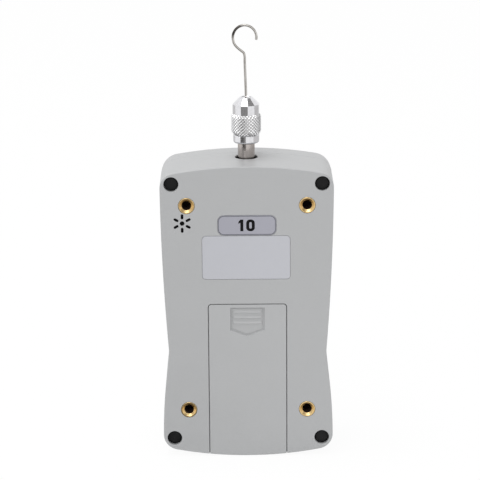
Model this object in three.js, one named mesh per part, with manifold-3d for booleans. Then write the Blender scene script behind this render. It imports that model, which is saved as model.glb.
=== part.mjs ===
// Handheld digital force gauge with a small wire hook held in a knurled collet chuck.
// Millimetres, +Z up. The back of the housing faces -Y and the display faces +Y.
// X = 0 and Y = 0 are the axis of the measuring shaft, and Z = 0 is the lowest point of the housing.
import * as THREE from "three";
import { mergeVertices } from "three/addons/utils/BufferGeometryUtils.js";
import Module from "manifold-3d";

const wasm = await Module();
wasm.setup();

// Housing outline, seen from the back: arcs that run into each other, with a waist for the hand.
const housingHeight = 131.8;
const housingDepth = 37.2;
const topArcRadius = 180;
const bottomArcRadius = 168;
const shoulderWidth = 74.9;
const shoulderDrop = 2.8;
const shoulderRadius = 1070;
const hipWidth = 74.66;
const hipHeight = 8.8;
const hipRadius = 235;
const flankAngle = THREE.MathUtils.degToRad(6.2);
const waistFillet = 12;
const topCornerRadius = 6.5;
const bottomCornerRadius = 7;

// Housing shells
const keyProud = 0.9;
const backY = -(housingDepth + keyProud) / 2;
const frontY = backY + housingDepth;
const frontShellDepth = 11.2;
const backShellDepth = housingDepth - frontShellDepth;
const partingY = backY + backShellDepth;
const wall = 2.2;
const backWall = 2.4;
const frontWall = 2.4;
const backEdgeRadius = 1.8;
const frontEdgeRadius = 2.6;
const lipHeight = 1.4;
const lipWall = 1.1;
const lipClearance = 0.2;
const fit = 0.1;
const overrun = 1;
const coincident = 0.01;

// Screws that hold the two shells together, sunk deep in the back
const housingScrewSideInset = 4.95;
const housingScrewTopInset = 7.2;
const housingScrewBottomInset = 8.6;
const screwRecessRadius = 3.15;
const screwSeatThickness = 9;
const screwBossWall = 1.3;
const housingScrewRadius = 1.5;
const housingScrewHeadRadius = 2.75;
const housingScrewHeadHeight = 2.2;
const housingScrewBite = 6;
const screwCrownShare = 0.7;
const screwSlotShare = 0.6;
const crossSlotWidth = 0.7;
const crossSlotLength = 3;
const crossSlotDepth = 1.2;

// Threaded brass inserts for a test stand
const insertDoorGap = 9.1;
const insertTopInset = 17.1;
const insertBottomInset = 21.7;
const insertRadius = 3.5;
const insertLength = 9;
const insertThreadRadius = 2.1;
const insertMouthRadius = 3.05;
const insertMouthDepth = 1.3;
const insertBossWall = 1.4;
const insertBossFloor = 1.2;

// Sound outlet of the buzzer
const soundSideInset = 9.55;
const soundTopInset = 24.9;
const soundHoleRadius = 0.85;
const soundSlotCount = 6;
const soundSlotInner = 2;
const soundSlotOuter = 3.8;
const soundSlotWidth = 0.75;

// Labels in shallow pockets of the back
const labelThickness = 0.3;
const labelPocket = 0.35;
const labelMargin = 0.15;
const capacityLabelWidth = 25.2;
const capacityLabelHeight = 8.8;
const capacityLabelCorner = 2.3;
const capacityLabelTopInset = 25.9;
const blankLabelWidth = 38;
const blankLabelHeight = 19.4;
const blankLabelCorner = 1.2;
const labelGap = 0.4;
const blankLabelX = -0.4;

// Battery door, which slides down out of the housing
const doorSideMargin = 0.95;
const doorTopMargin = 3.4;
const doorThickness = 1.8;
const doorCorner = 1.2;
const doorGap = 0.3;
const tongueReach = 1.4;
const tongueThickness = 1.1;
const tongueGap = 0.25;
const railWall = 1.2;
const railReach = 2.4;
const catchWidth = 12;
const catchReach = 1.6;
const gripWidth = 15;
const gripTopMargin = 1.5;
const gripHeight = 10.2;
const gripPoint = 2.7;
const gripDepth = 0.8;
const gripChamfer = 0.7;
const gripCornerShare = 0.7;
const gripRidgeCount = 3;
const gripRidgePitch = 2.5;
const gripRidgeWidth = 1.3;
const gripRidgeHeight = 0.55;
const gripRidgeInset = 0.7;

// Battery tray with two AA cells
const cellRadius = 7.1;
const cellBodyLength = 49.2;
const cellNubRadius = 2.7;
const cellNubLength = 1.1;
const cellRim = 0.6;
const cellSpacing = 14.6;
const cellBaseZ = 11;
const cellDepthGap = 0.5;
const trayWall = 1.2;
const trayEndGap = 5.4;
const traySideGap = 0.35;
const contactThickness = 0.4;
const contactWidth = 10;
const contactHeight = 9;
const contactSeatGap = 0.1;
const springWire = 0.7;
const springBaseRadius = 4.2;
const springTipRadius = 2.4;
const springTurns = 2.5;
const springStepsPerTurn = 8;
const springSides = 5;
const springGap = 0.15;

// Measuring shaft and its nuts
const shaftRadius = 3.72;
const shaftHoleRadius = 4.9;
const shaftReach = 6.45;
const studRadius = 2.9;
const studLength = 3.4;
const lowerStudRadius = 1.95;
const nutAcrossFlats = 7;
const nutHeight = 3.2;
const nutSides = 6;
const stopGap = 0.6;
const studEnd = 1;

// Load cell: a beam with two joined holes, fixed at one end and pulled at the other
const cellBeamHeight = 8;
const cellBoardGap = 2.4;
const cellTopInset = 25.8;
const cellLiveReach = 7;
const cellEndInset = 0.4;
const cellHoleRadius = 2.6;
const cellHoleSpacing = 8;
const cellSlotHeight = 1.4;
const cellStudHoleRadius = 2.15;
const gaugeEndGap = 1;
const gaugeWidth = 4;
const gaugeThickness = 0.4;
const cellScrewRadius = 1.5;
const cellScrewHeadRadius = 2.75;
const cellScrewHeadHeight = 2;
const cellScrewInset = 3;
const cellScrewSpacing = 6.1;
const cellScrewBite = 5;

// Bracket that carries the load cell
const bracketArmHeight = 5.2;
const bracketSideGap = 0.3;
const bracketRiserWidth = 12.7;
const bracketFootWidth = 21.7;
const bracketFootDrop = 9;
const bracketFootThickness = 5;
const bracketStudHoleRadius = 2.6;
const bracketBossRadius = 3.4;
const bracketScrewInset = 4.4;

// Chuck: body, collet and nut
const chuckRingRadius = 5.6;
const chuckRingHeight = 3.7;
const chuckRingChamfer = 0.9;
const chuckThreadRadius = 4.5;
const chuckThreadHeight = 7;
const chuckBoreRadius = 2.85;
const chuckNutGap = 0.2;
const nutBoreRadius = 4.7;
const nutEnvelopeHeight = 8.9;
const knurlRadius = 6.55;
const knurlTaper = 1.7;
const knurlChamfer = 1;
const knurlChamferDrop = 0.5;
const knurlDepth = 0.34;
const knurlCount = 24;
const knurlRows = 10;
const noseBandRadius = 5.68;
const noseBandHeight = 4.6;
const noseConeHeight = 3.25;
const noseTipRadius = 2.8;
const noseFacets = 12;
const noseTurn = THREE.MathUtils.degToRad(8);
const noseBoreRadius = 2.05;
const noseBoreDepth = 4.6;
const noseSeatDepth = 3;
const colletNoseRadius = 1.85;
const colletShoulderRadius = 3.1;
const colletTailRadius = 2.6;
const colletTailLength = 6.5;
const colletShoulderLength = 1;
const colletSlotWidth = 0.4;
const colletSlotDepth = 11;
const colletBoreClearance = 0.1;
const colletNoseSet = 0.1;

// Hook of spring wire
const wireRadius = 0.55;
const hookShankRise = 17.9;
const hookLean = 0.9;
const hookBendX = -1.5;
const hookBendRise = 19.9;
const hookCentreX = -0.45;
const hookCentreRise = 25.8;
const hookRadius = 5.1;
const hookTipAngle = THREE.MathUtils.degToRad(-9);
const hookHeelAngle = THREE.MathUtils.degToRad(238);
const hookShankHidden = 13;
const hookPoints = 20;
const hookSides = 5;
const hookSteps = 42;

// Display window, LCD and its backlight
const windowSideMargin = 1.5;
const windowHeight = 36;
const windowTopInset = 16.8;
const windowCorner = 3;
const windowThickness = 1.4;
const windowSet = 0.1;
const windowLedge = 2.6;
const lcdMargin = 2;
const lcdThickness = 2.2;
const backlightThickness = 3.1;
const displayGap = 0.15;

// Main board and what is on it
const boardSideGap = 0.7;
const boardBottomInset = 18;
const boardTopInset = 13.8;
const boardThickness = 1.6;
const boardScrewSideInset = 3.5;
const boardScrewWindowGap = 4;
const boardScrewBottomInset = 4.5;
const boardBossRadius = 2.6;
const boardScrewRadius = 1.1;
const boardScrewHeadRadius = 2.1;
const boardScrewHeadHeight = 1.4;
const boardScrewBite = 4.5;
const buzzerRadius = 6;
const buzzerHeight = 5.5;
const buzzerHoleRadius = 1;
const buzzerHoleDepth = 1;
const buzzerShiftX = 1.5;
const buzzerShiftZ = -3.9;
const chipSize = 12;
const chipHeight = 1.4;
const chipX = -12;
const chipTopInset = 36;

// Sockets in the side wall
const usbWidth = 7.7;
const usbHeight = 3.9;
const usbDepth = 9;
const usbShell = 0.4;
const usbTongueThickness = 0.8;
const usbTongueInset = 1;
const usbTopInset = 31;
const usbCutMargin = 0.4;
const jackWidth = 9;
const jackHeight = 7.6;
const jackDepth = 13;
const jackBoreRadius = 2.85;
const jackPinRadius = 1;
const jackBoreDepth = 9;
const jackWindowGap = 15;
const jackCutMargin = 0.4;
const socketSet = 0.6;

// Keys and their switches
const keyWidth = 13.5;
const keyHeight = 8.6;
const keyCorner = 3.2;
const keyGap = 0.25;
const keyFlange = 0.9;
const keyFlangeThickness = 0.9;
const keyDome = 0.55;
const keyTravel = 0.6;
const keySideInset = 3.25;
const keyWindowGap = 22;
const keyRowSpacing = 19;
const switchSize = 6;
const switchHeight = 3;
const switchPlungerRadius = 1.7;

const plastic = new THREE.MeshStandardMaterial({ color: 0xb1b3b4, roughness: 0.5, metalness: 0 });
const doorPlastic = new THREE.MeshStandardMaterial({ color: 0xb0b1b2, roughness: 0.52, metalness: 0 });
const blackSteel = new THREE.MeshStandardMaterial({ color: 0x1c1d1f, roughness: 0.45, metalness: 0.8 });
const brass = new THREE.MeshStandardMaterial({ color: 0xb98b4a, roughness: 0.3, metalness: 1 });
const foil = new THREE.MeshStandardMaterial({ color: 0xbfc0c8, roughness: 0.4, metalness: 0.3 });
const capacityFoil = new THREE.MeshStandardMaterial({ color: 0xa6a7b2, roughness: 0.4, metalness: 0.3 });
const steel = new THREE.MeshStandardMaterial({ color: 0x9a928a, roughness: 0.3, metalness: 1 });
const nickel = new THREE.MeshStandardMaterial({ color: 0xdadbdd, roughness: 0.18, metalness: 1 });
const wire = new THREE.MeshStandardMaterial({ color: 0xb4aea6, roughness: 0.25, metalness: 1 });
const aluminium = new THREE.MeshStandardMaterial({ color: 0xc3c6c9, roughness: 0.35, metalness: 0.9 });
const film = new THREE.MeshStandardMaterial({ color: 0xc98f3a, roughness: 0.5, metalness: 0.1 });
const laminate = new THREE.MeshStandardMaterial({ color: 0x1f5a36, roughness: 0.5, metalness: 0 });
const blackPlastic = new THREE.MeshStandardMaterial({ color: 0x222326, roughness: 0.5, metalness: 0 });
const rubber = new THREE.MeshStandardMaterial({ color: 0x3b4148, roughness: 0.75, metalness: 0 });
const glass = new THREE.MeshStandardMaterial({ color: 0x8f9a8a, roughness: 0.08, metalness: 0 });
const liquidCrystal = new THREE.MeshStandardMaterial({ color: 0x97a08a, roughness: 0.3, metalness: 0 });
const diffuser = new THREE.MeshStandardMaterial({ color: 0xe6e9e4, roughness: 0.6, metalness: 0 });
const cellJacket = new THREE.MeshStandardMaterial({ color: 0x2f6f57, roughness: 0.35, metalness: 0.1 });

const gauge = new THREE.Group();

// A closed geometry as a solid that can be joined and cut.
function solid(geometry) {
  const bare = geometry.index ? geometry.toNonIndexed() : geometry.clone();
  const open = new THREE.BufferGeometry().setAttribute("position", bare.getAttribute("position"));
  const merged = mergeVertices(open);
  const corners = [];
  for (let i = 0; i < merged.index.count; i += 3) {
    const [a, b, c] = [0, 1, 2].map((k) => merged.index.getX(i + k));
    if (a !== b && b !== c && c !== a) corners.push(a, b, c);
  }
  const make = (triangles) =>
    new wasm.Manifold(
      new wasm.Mesh({
        numProp: 3,
        vertProperties: merged.attributes.position.array,
        triVerts: new Uint32Array(triangles),
      }),
    );
  const made = make(corners);
  if (made.volume() > 0) return made;
  for (let i = 0; i < corners.length; i += 3) {
    [corners[i + 1], corners[i + 2]] = [corners[i + 2], corners[i + 1]];
  }
  return make(corners);
}

function join(first, ...others) {
  return others.reduce((sum, other) => sum.add(other), first);
}

function cut(first, ...others) {
  return others.reduce((rest, other) => rest.subtract(other), first);
}

// Adds a solid to the gauge as a named mesh.
function piece(name, made, material) {
  const { vertProperties, triVerts } = made.getMesh();
  const geometry = new THREE.BufferGeometry();
  geometry.setAttribute("position", new THREE.BufferAttribute(new Float32Array(vertProperties), 3));
  geometry.setIndex(new THREE.BufferAttribute(new Uint32Array(triVerts), 1));
  geometry.computeVertexNormals();
  const mesh = new THREE.Mesh(geometry, material);
  mesh.name = name;
  gauge.add(mesh);
}

// Box between two corners.
function block(x0, x1, y0, y1, z0, z1) {
  const box = new THREE.BoxGeometry(x1 - x0, y1 - y0, z1 - z0);
  return solid(box.translate((x0 + x1) / 2, (y0 + y1) / 2, (z0 + z1) / 2));
}

// A shape drawn in X and Z, with thickness from y0 to y1.
function slab(shape, y0, y1, curveSegments = 2) {
  const extruded = new THREE.ExtrudeGeometry(shape, { depth: y1 - y0, bevelEnabled: false, curveSegments });
  return solid(extruded.rotateX(Math.PI / 2).translate(0, y1, 0));
}

// Solid of revolution about a line along Y; the profile holds radius and y, from axis to axis.
function turnedY(profile, x, z, sides = 24) {
  const lathe = new THREE.LatheGeometry(
    profile.map(([radius, y]) => new THREE.Vector2(radius, y)),
    sides,
  );
  return solid(lathe.translate(x, 0, z));
}

// Solid of revolution about a line along Z; the profile holds radius and z, from axis to axis.
function turnedZ(profile, x, y, sides = 32) {
  const lathe = new THREE.LatheGeometry(
    profile.map(([radius, z]) => new THREE.Vector2(radius, z)),
    sides,
  );
  return solid(lathe.rotateX(Math.PI / 2).translate(x, y, 0));
}

function rodY(radius, x, z, y0, y1, sides = 12) {
  return turnedY([[0, y0], [radius, y0], [radius, y1], [0, y1]], x, z, sides);
}

function rodZ(radius, x, y, z0, z1, sides = 20) {
  return turnedZ([[0, z0], [radius, z0], [radius, z1], [0, z1]], x, y, sides);
}

// Rectangle with round corners, centred at x and z.
function roundedRectangle(x, z, width, height, corner) {
  const [left, right, bottom, top] = [x - width / 2, x + width / 2, z - height / 2, z + height / 2];
  const shape = new THREE.Shape();
  shape.moveTo(left + corner, bottom);
  shape.absarc(right - corner, bottom + corner, corner, -Math.PI / 2, 0);
  shape.absarc(right - corner, top - corner, corner, 0, Math.PI / 2);
  shape.absarc(left + corner, top - corner, corner, Math.PI / 2, Math.PI);
  shape.absarc(left + corner, bottom + corner, corner, Math.PI, (3 * Math.PI) / 2);
  return shape;
}

// Where two circles cross, on the side that lies further along +X.
function crossing(a, radiusA, b, radiusB) {
  const gap = b.clone().sub(a);
  const distance = gap.length();
  const along = (radiusA ** 2 - radiusB ** 2 + distance ** 2) / (2 * distance);
  const aside = Math.sqrt(radiusA ** 2 - along ** 2);
  const unit = gap.divideScalar(distance);
  const foot = a.clone().addScaledVector(unit, along);
  const normal = new THREE.Vector2(-unit.y, unit.x).multiplyScalar(aside);
  const [p, q] = [foot.clone().add(normal), foot.clone().sub(normal)];
  return p.x > q.x ? p : q;
}

// The centres and angles of the right-hand outline; every radius changes by the inset, and the angles stay.
function outlineArcs() {
  const top = new THREE.Vector2(0, housingHeight - topArcRadius);
  const shoulder = new THREE.Vector2(shoulderWidth / 2 - shoulderRadius, housingHeight - shoulderDrop);
  const hip = new THREE.Vector2(hipWidth / 2 - hipRadius, hipHeight);
  const bottom = new THREE.Vector2(0, bottomArcRadius);
  const topCorner = crossing(
    top, topArcRadius - topCornerRadius, shoulder, shoulderRadius - topCornerRadius,
  );
  const bottomCorner = crossing(
    hip, hipRadius - bottomCornerRadius, bottom, bottomArcRadius - bottomCornerRadius,
  );
  // The straight flank leaves the hip arc at the flank angle.
  // The waist fillet touches the flank and the shoulder arc.
  const outward = new THREE.Vector2(Math.cos(flankAngle), Math.sin(flankAngle));
  const upward = new THREE.Vector2(-outward.y, outward.x);
  const start = hip.clone().addScaledVector(outward, hipRadius + waistFillet).sub(shoulder);
  const half = start.dot(upward);
  const reach = shoulderRadius + waistFillet;
  const along = -half - Math.sqrt(half ** 2 - start.lengthSq() + reach ** 2);
  const waist = start.addScaledVector(upward, along).add(shoulder);
  const angle = (from, to) => Math.atan2(to.y - from.y, to.x - from.x);
  const topTurn = angle(top, topCorner);
  const shoulderTurn = angle(shoulder, topCorner);
  const waistTurn = angle(shoulder, waist);
  const hipTurn = angle(hip, bottomCorner);
  const bottomTurn = angle(bottom, bottomCorner);
  return [
    { centre: top, radius: topArcRadius, from: Math.PI / 2, to: topTurn, steps: 4, side: 1 },
    { centre: topCorner, radius: topCornerRadius, from: topTurn, to: shoulderTurn, steps: 5, side: 1 },
    { centre: shoulder, radius: shoulderRadius, from: shoulderTurn, to: waistTurn, steps: 3, side: 1 },
    {
      centre: waist, radius: waistFillet, from: waistTurn + Math.PI, to: flankAngle + Math.PI,
      steps: 2, side: -1,
    },
    { centre: hip, radius: hipRadius, from: flankAngle, to: hipTurn, steps: 2, side: 1 },
    { centre: bottomCorner, radius: bottomCornerRadius, from: hipTurn, to: bottomTurn, steps: 5, side: 1 },
    { centre: bottom, radius: bottomArcRadius, from: bottomTurn, to: -Math.PI / 2, steps: 4, side: 1 },
  ];
}

const arcs = outlineArcs();

// The whole outline as a closed ring of points, set in from the outside by the inset.
function outline(inset) {
  const right = [];
  for (const { centre, radius, from, to, steps, side } of arcs) {
    const drawn = radius - side * inset;
    for (let i = 0; i <= steps; i += 1) {
      const turn = from + ((to - from) * i) / steps;
      const point = new THREE.Vector2(centre.x + drawn * Math.cos(turn), centre.y + drawn * Math.sin(turn));
      const last = right[right.length - 1];
      if (!last || last.distanceTo(point) > coincident) right.push(point);
    }
  }
  right[0].x = 0;
  right[right.length - 1].x = 0;
  const left = right.slice(1, -1).reverse().map((p) => new THREE.Vector2(-p.x, p.y));
  return [...right, ...left];
}

// Skin through flat rings along Y that all have as many points, closed at both ends.
// Each ring is a list of points in X and Z, clockwise seen from the back, and a y.
function skin(rings) {
  const loops = rings.map(([ring, y]) => ring.map((p) => new THREE.Vector3(p.x, y, p.y)));
  const count = loops[0].length;
  const capOf = ([ring]) => THREE.ShapeUtils.triangulateShape(ring.map((p) => p.clone()), []);
  const triangles = capOf(rings[0]).map(([i, j, k]) => [loops[0][i], loops[0][k], loops[0][j]]);
  for (let r = 0; r + 1 < loops.length; r += 1) {
    for (let i = 0; i < count; i += 1) {
      const j = (i + 1) % count;
      const [a, b, c, d] = [loops[r][i], loops[r][j], loops[r + 1][j], loops[r + 1][i]];
      triangles.push([a, c, b], [a, d, c]);
    }
  }
  const end = loops[loops.length - 1];
  triangles.push(...capOf(rings[rings.length - 1]).map((face) => face.map((k) => end[k])));
  return solid(new THREE.BufferGeometry().setFromPoints(triangles.flat()));
}

// The housing outline through rings that are each an inset and a y.
function loft(rings) {
  return skin(rings.map(([inset, y]) => [outline(inset), y]));
}

// A quarter round between a flat face and the side wall, as insets and depths from the face.
function quarterRound(radius, steps = 3) {
  return Array.from({ length: steps + 1 }, (_, i) => {
    const turn = (i / steps) * (Math.PI / 2);
    return [radius * (1 - Math.sin(turn)), radius * (1 - Math.cos(turn))];
  });
}

const backRound = quarterRound(backEdgeRadius).map(([inset, depth]) => [inset, backY + depth]);
const frontRound = quarterRound(frontEdgeRadius).map(([inset, depth]) => [inset, frontY - depth]).reverse();

// The four places of a rectangular pattern, with the names that its pieces take.
function corners(halfX, bottomZ, topZ) {
  return [
    ["top_left", -halfX, topZ],
    ["top_right", halfX, topZ],
    ["bottom_left", -halfX, bottomZ],
    ["bottom_right", halfX, bottomZ],
  ];
}

const housingScrews = corners(
  shoulderWidth / 2 - housingScrewSideInset, housingScrewBottomInset, housingHeight - housingScrewTopInset,
);
const screwBossRadius = screwRecessRadius + screwBossWall;
const screwSeatY = partingY - screwSeatThickness;
const insertBossRadius = insertRadius + insertBossWall;
const insertFloorY = backY + insertLength + fit;
const innerBackY = backY + backWall;
const innerFrontY = frontY - frontWall;

// What shows in the back, placed from the top of the housing.
const soundX = soundSideInset - shoulderWidth / 2;
const soundZ = housingHeight - soundTopInset;
const capacityLabelZ = housingHeight - capacityLabelTopInset;
const blankLabelZ = capacityLabelZ - capacityLabelHeight / 2 - labelGap - blankLabelHeight / 2;

// Battery door and tray: the cells stand side by side behind the door.
const cellLength = cellBodyLength + cellNubLength;
const trayHalf = cellSpacing / 2 + cellRadius + traySideGap + trayWall;
const trayBottomZ = cellBaseZ - trayEndGap;
const trayTopZ = cellBaseZ + cellLength + trayEndGap;
const doorWidth = 2 * (trayHalf + doorSideMargin);
const doorTopZ = trayTopZ + doorTopMargin;

// The inserts stand clear of the door on both sides.
const inserts = corners(doorWidth / 2 + insertDoorGap, insertBottomInset, housingHeight - insertTopInset);

// Levels of the battery door: a plate flush with the back, and tongues that run behind the wall.
const doorInnerY = backY + doorThickness;
const tongueY = doorInnerY + tongueThickness;
const doorHalf = doorWidth / 2;
const tongueHalf = doorHalf + tongueReach;
const railInnerY = tongueY + tongueGap + railWall;

const cellY = tongueY + cellDepthGap + cellRadius;
const trayFloorY = cellY + cellRadius + traySideGap;
const trayBackY = railInnerY + fit;

// Front stack, from the face inwards.
const boardFrontY = innerFrontY - displayGap - lcdThickness - displayGap - backlightThickness - displayGap;
const boardBackY = boardFrontY - boardThickness;
const boardBottomZ = boardBottomInset;
const boardTopZ = housingHeight - boardTopInset;
const boardHalf = narrowestHalf(boardBottomZ, boardTopZ) - wall - lipWall - boardSideGap;
const windowWidth = 2 * (boardHalf - windowSideMargin);
const windowCentreZ = housingHeight - windowTopInset - windowHeight / 2;
const windowBottomZ = windowCentreZ - windowHeight / 2;
const lcdWidth = windowWidth - 2 * lcdMargin;
const lcdHeight = windowHeight - 2 * lcdMargin;
const keyColumnSpacing = (windowWidth - keyWidth) / 2 - keySideInset;
const keyTopRowZ = windowBottomZ - keyWindowGap;
const buzzerX = soundX + buzzerShiftX;
const buzzerZ = soundZ + buzzerShiftZ;
const chipZ = boardTopZ - chipTopInset;
const usbZ = boardTopZ - usbTopInset;
const jackZ = windowBottomZ - jackWindowGap;

// Load train: everything below the shaft hangs from the live end of the load cell.
const shaftShoulderZ = housingHeight + shaftReach;
const cellBeamTopZ = housingHeight - cellTopInset;
const cellBeamBottomZ = cellBeamTopZ - cellBeamHeight;
const cellBeamDepth = 2 * (boardBackY - cellBoardGap);
const lockNutBottomZ = cellBeamBottomZ - nutHeight;
const bracketArmTopZ = lockNutBottomZ - stopGap;
const bracketArmBottomZ = bracketArmTopZ - bracketArmHeight;
const stopNutTopZ = bracketArmBottomZ - stopGap;
const bracketFootY = -cellBeamDepth / 2 - bracketFootThickness;
const bracketFootBottomZ = bracketArmBottomZ - bracketFootDrop;
const bracketRightX = narrowestHalf(bracketFootBottomZ, cellBeamTopZ) - wall - lipWall - bracketSideGap;
const bracketRiserX = bracketRightX - bracketRiserWidth;
const bracketFootLeftX = bracketRightX - bracketFootWidth;
const bracketScrewZ = bracketFootBottomZ + bracketScrewInset;
const bracketScrewX1 = bracketFootLeftX + bracketScrewInset;
const bracketScrewX2 = bracketRightX - bracketScrewInset;
const cellBeamFixedX = bracketRightX - cellEndInset;
const cellScrewX2 = cellBeamFixedX - cellScrewInset;
const cellScrewX1 = cellScrewX2 - cellScrewSpacing;
const cellHoleCentreX = (cellStudHoleRadius + bracketRiserX) / 2;
const nutCornerRadius = nutAcrossFlats / 2 / Math.cos(Math.PI / nutSides);

function backCover() {
  const body = loft([...backRound, [0, partingY]]);
  const cavity = loft([[wall, innerBackY], [wall, partingY + overrun]]);
  const bosses = [
    ...housingScrews.map(([, x, z]) => rodY(screwBossRadius, x, z, innerBackY - overrun, partingY)),
    ...inserts.map(([, x, z]) =>
      rodY(insertBossRadius, x, z, innerBackY - overrun, insertFloorY + insertBossFloor)),
    ...[bracketScrewX1, bracketScrewX2].map((x) =>
      rodY(bracketBossRadius, x, bracketScrewZ, innerBackY - overrun, bracketFootY)),
  ];
  // Rails either side of the battery door, which stop below the catch.
  const railOuter = tongueHalf + tongueGap + railWall;
  const rails = [-1, 1].map((side) => {
    const [left, right] = [side * (tongueHalf - railReach), side * railOuter].sort((a, b) => a - b);
    return block(left, right, innerBackY - overrun, railInnerY, 0, doorTopZ);
  });
  const header = block(
    -railOuter, railOuter, innerBackY - overrun, railInnerY,
    doorTopZ, doorTopZ + catchReach + tongueGap + railWall,
  );
  let cover = cut(body, cavity);
  cover = join(cover, ...[...bosses, ...rails, header].map((boss) => boss.intersect(body)));
  const doorway = slab(
    roundedRectangle(0, 0, doorWidth + 2 * doorGap, 2 * (doorTopZ + doorGap), doorCorner + doorGap),
    backY - overrun, doorInnerY + tongueGap,
  );
  const tongueway = block(
    -tongueHalf - tongueGap, tongueHalf + tongueGap, doorInnerY - tongueGap, tongueY + tongueGap,
    -overrun, doorTopZ + doorGap,
  );
  const catchway = block(
    -catchWidth / 2 - tongueGap, catchWidth / 2 + tongueGap, doorInnerY - tongueGap, tongueY + tongueGap,
    doorTopZ, doorTopZ + catchReach + tongueGap,
  );
  const wayIn = block(
    railReach - tongueHalf, tongueHalf - railReach, doorInnerY, trayFloorY,
    trayBottomZ + trayWall, doorTopZ - railReach,
  );
  const screwHoles = housingScrews.flatMap(([, x, z]) => [
    rodY(screwRecessRadius, x, z, backY - overrun, screwSeatY, 20),
    rodY(housingScrewRadius + fit, x, z, screwSeatY - overrun, partingY + overrun, 12),
  ]);
  const insertHoles = inserts.map(([, x, z]) =>
    rodY(insertRadius + fit, x, z, backY - overrun, insertFloorY, 16));
  const bracketHoles = [bracketScrewX1, bracketScrewX2].map((x) =>
    rodY(cellScrewRadius + fit, x, bracketScrewZ, bracketFootY - cellScrewBite, bracketFootY + overrun, 12));
  const pockets = [
    slab(
      roundedRectangle(
        0, capacityLabelZ, capacityLabelWidth + 2 * labelMargin,
        capacityLabelHeight + 2 * labelMargin, capacityLabelCorner + labelMargin,
      ),
      backY - overrun, backY + labelPocket,
    ),
    slab(
      roundedRectangle(
        blankLabelX, blankLabelZ, blankLabelWidth + 2 * labelMargin,
        blankLabelHeight + 2 * labelMargin, blankLabelCorner + labelMargin,
      ),
      backY - overrun, backY + labelPocket,
    ),
  ];
  const shaftHole = rodZ(shaftHoleRadius, 0, 0, housingHeight - 2 * wall, housingHeight + overrun, 32);
  const doorways = [doorway, tongueway, catchway, wayIn];
  return cut(
    cover, ...doorways, ...screwHoles, ...insertHoles, ...bracketHoles, ...pockets,
    shaftHole, ...soundOutlet(), ...socketWays(),
  );
}

// A round hole with short slots around it like rays.
function soundOutlet() {
  const slots = Array.from({ length: soundSlotCount }, (_, i) => {
    const length = soundSlotOuter - soundSlotInner;
    const slot = roundedRectangle(
      0, soundSlotInner + length / 2, soundSlotWidth, length, soundSlotWidth / 2 - coincident,
    );
    const turn = (i / soundSlotCount) * 2 * Math.PI;
    const made = slab(slot, backY - overrun, innerBackY + overrun, 1);
    return made.rotate([0, THREE.MathUtils.radToDeg(turn), 0]).translate([soundX, 0, soundZ]);
  });
  return [rodY(soundHoleRadius, soundX, soundZ, backY - overrun, innerBackY + overrun, 12), ...slots];
}

// Half the width of the housing at a height, on the outline.
function halfWidthAt(z) {
  const points = outline(0);
  let widest = 0;
  points.forEach((p, i) => {
    const q = points[(i + 1) % points.length];
    if ((p.y - z) * (q.y - z) > 0 || p.y === q.y) return;
    widest = Math.max(widest, p.x + ((q.x - p.x) * (z - p.y)) / (q.y - p.y));
  });
  return widest;
}

// The least half width between two heights.
function narrowestHalf(z0, z1) {
  const within = outline(0).filter((p) => p.x > 0 && p.y > z0 && p.y < z1);
  return Math.min(halfWidthAt(z0), halfWidthAt(z1), ...within.map((p) => p.x));
}

// Cuts in the side wall for the two sockets.
function socketWays() {
  const usb = block(
    -halfWidthAt(usbZ) - overrun, -halfWidthAt(usbZ) + wall + lipWall + overrun,
    boardBackY - usbHeight - usbCutMargin, boardBackY + usbCutMargin,
    usbZ - usbWidth / 2 - usbCutMargin, usbZ + usbWidth / 2 + usbCutMargin,
  );
  const jack = block(
    -halfWidthAt(jackZ) - overrun, -halfWidthAt(jackZ) + wall + lipWall + overrun,
    boardBackY - jackHeight - jackCutMargin, boardBackY + jackCutMargin,
    jackZ - jackWidth / 2 - jackCutMargin, jackZ + jackWidth / 2 + jackCutMargin,
  );
  return [usb, jack];
}

const keyPlaces = ["power", "zero", "peak", "unit", "memory", "send"].map((name, i) => [
  name,
  ((i % 3) - 1) * -keyColumnSpacing,
  keyTopRowZ - Math.floor(i / 3) * keyRowSpacing,
]);
const boardScrews = corners(
  boardHalf - boardScrewSideInset, boardBottomZ + boardScrewBottomInset, windowBottomZ - boardScrewWindowGap,
);

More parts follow.
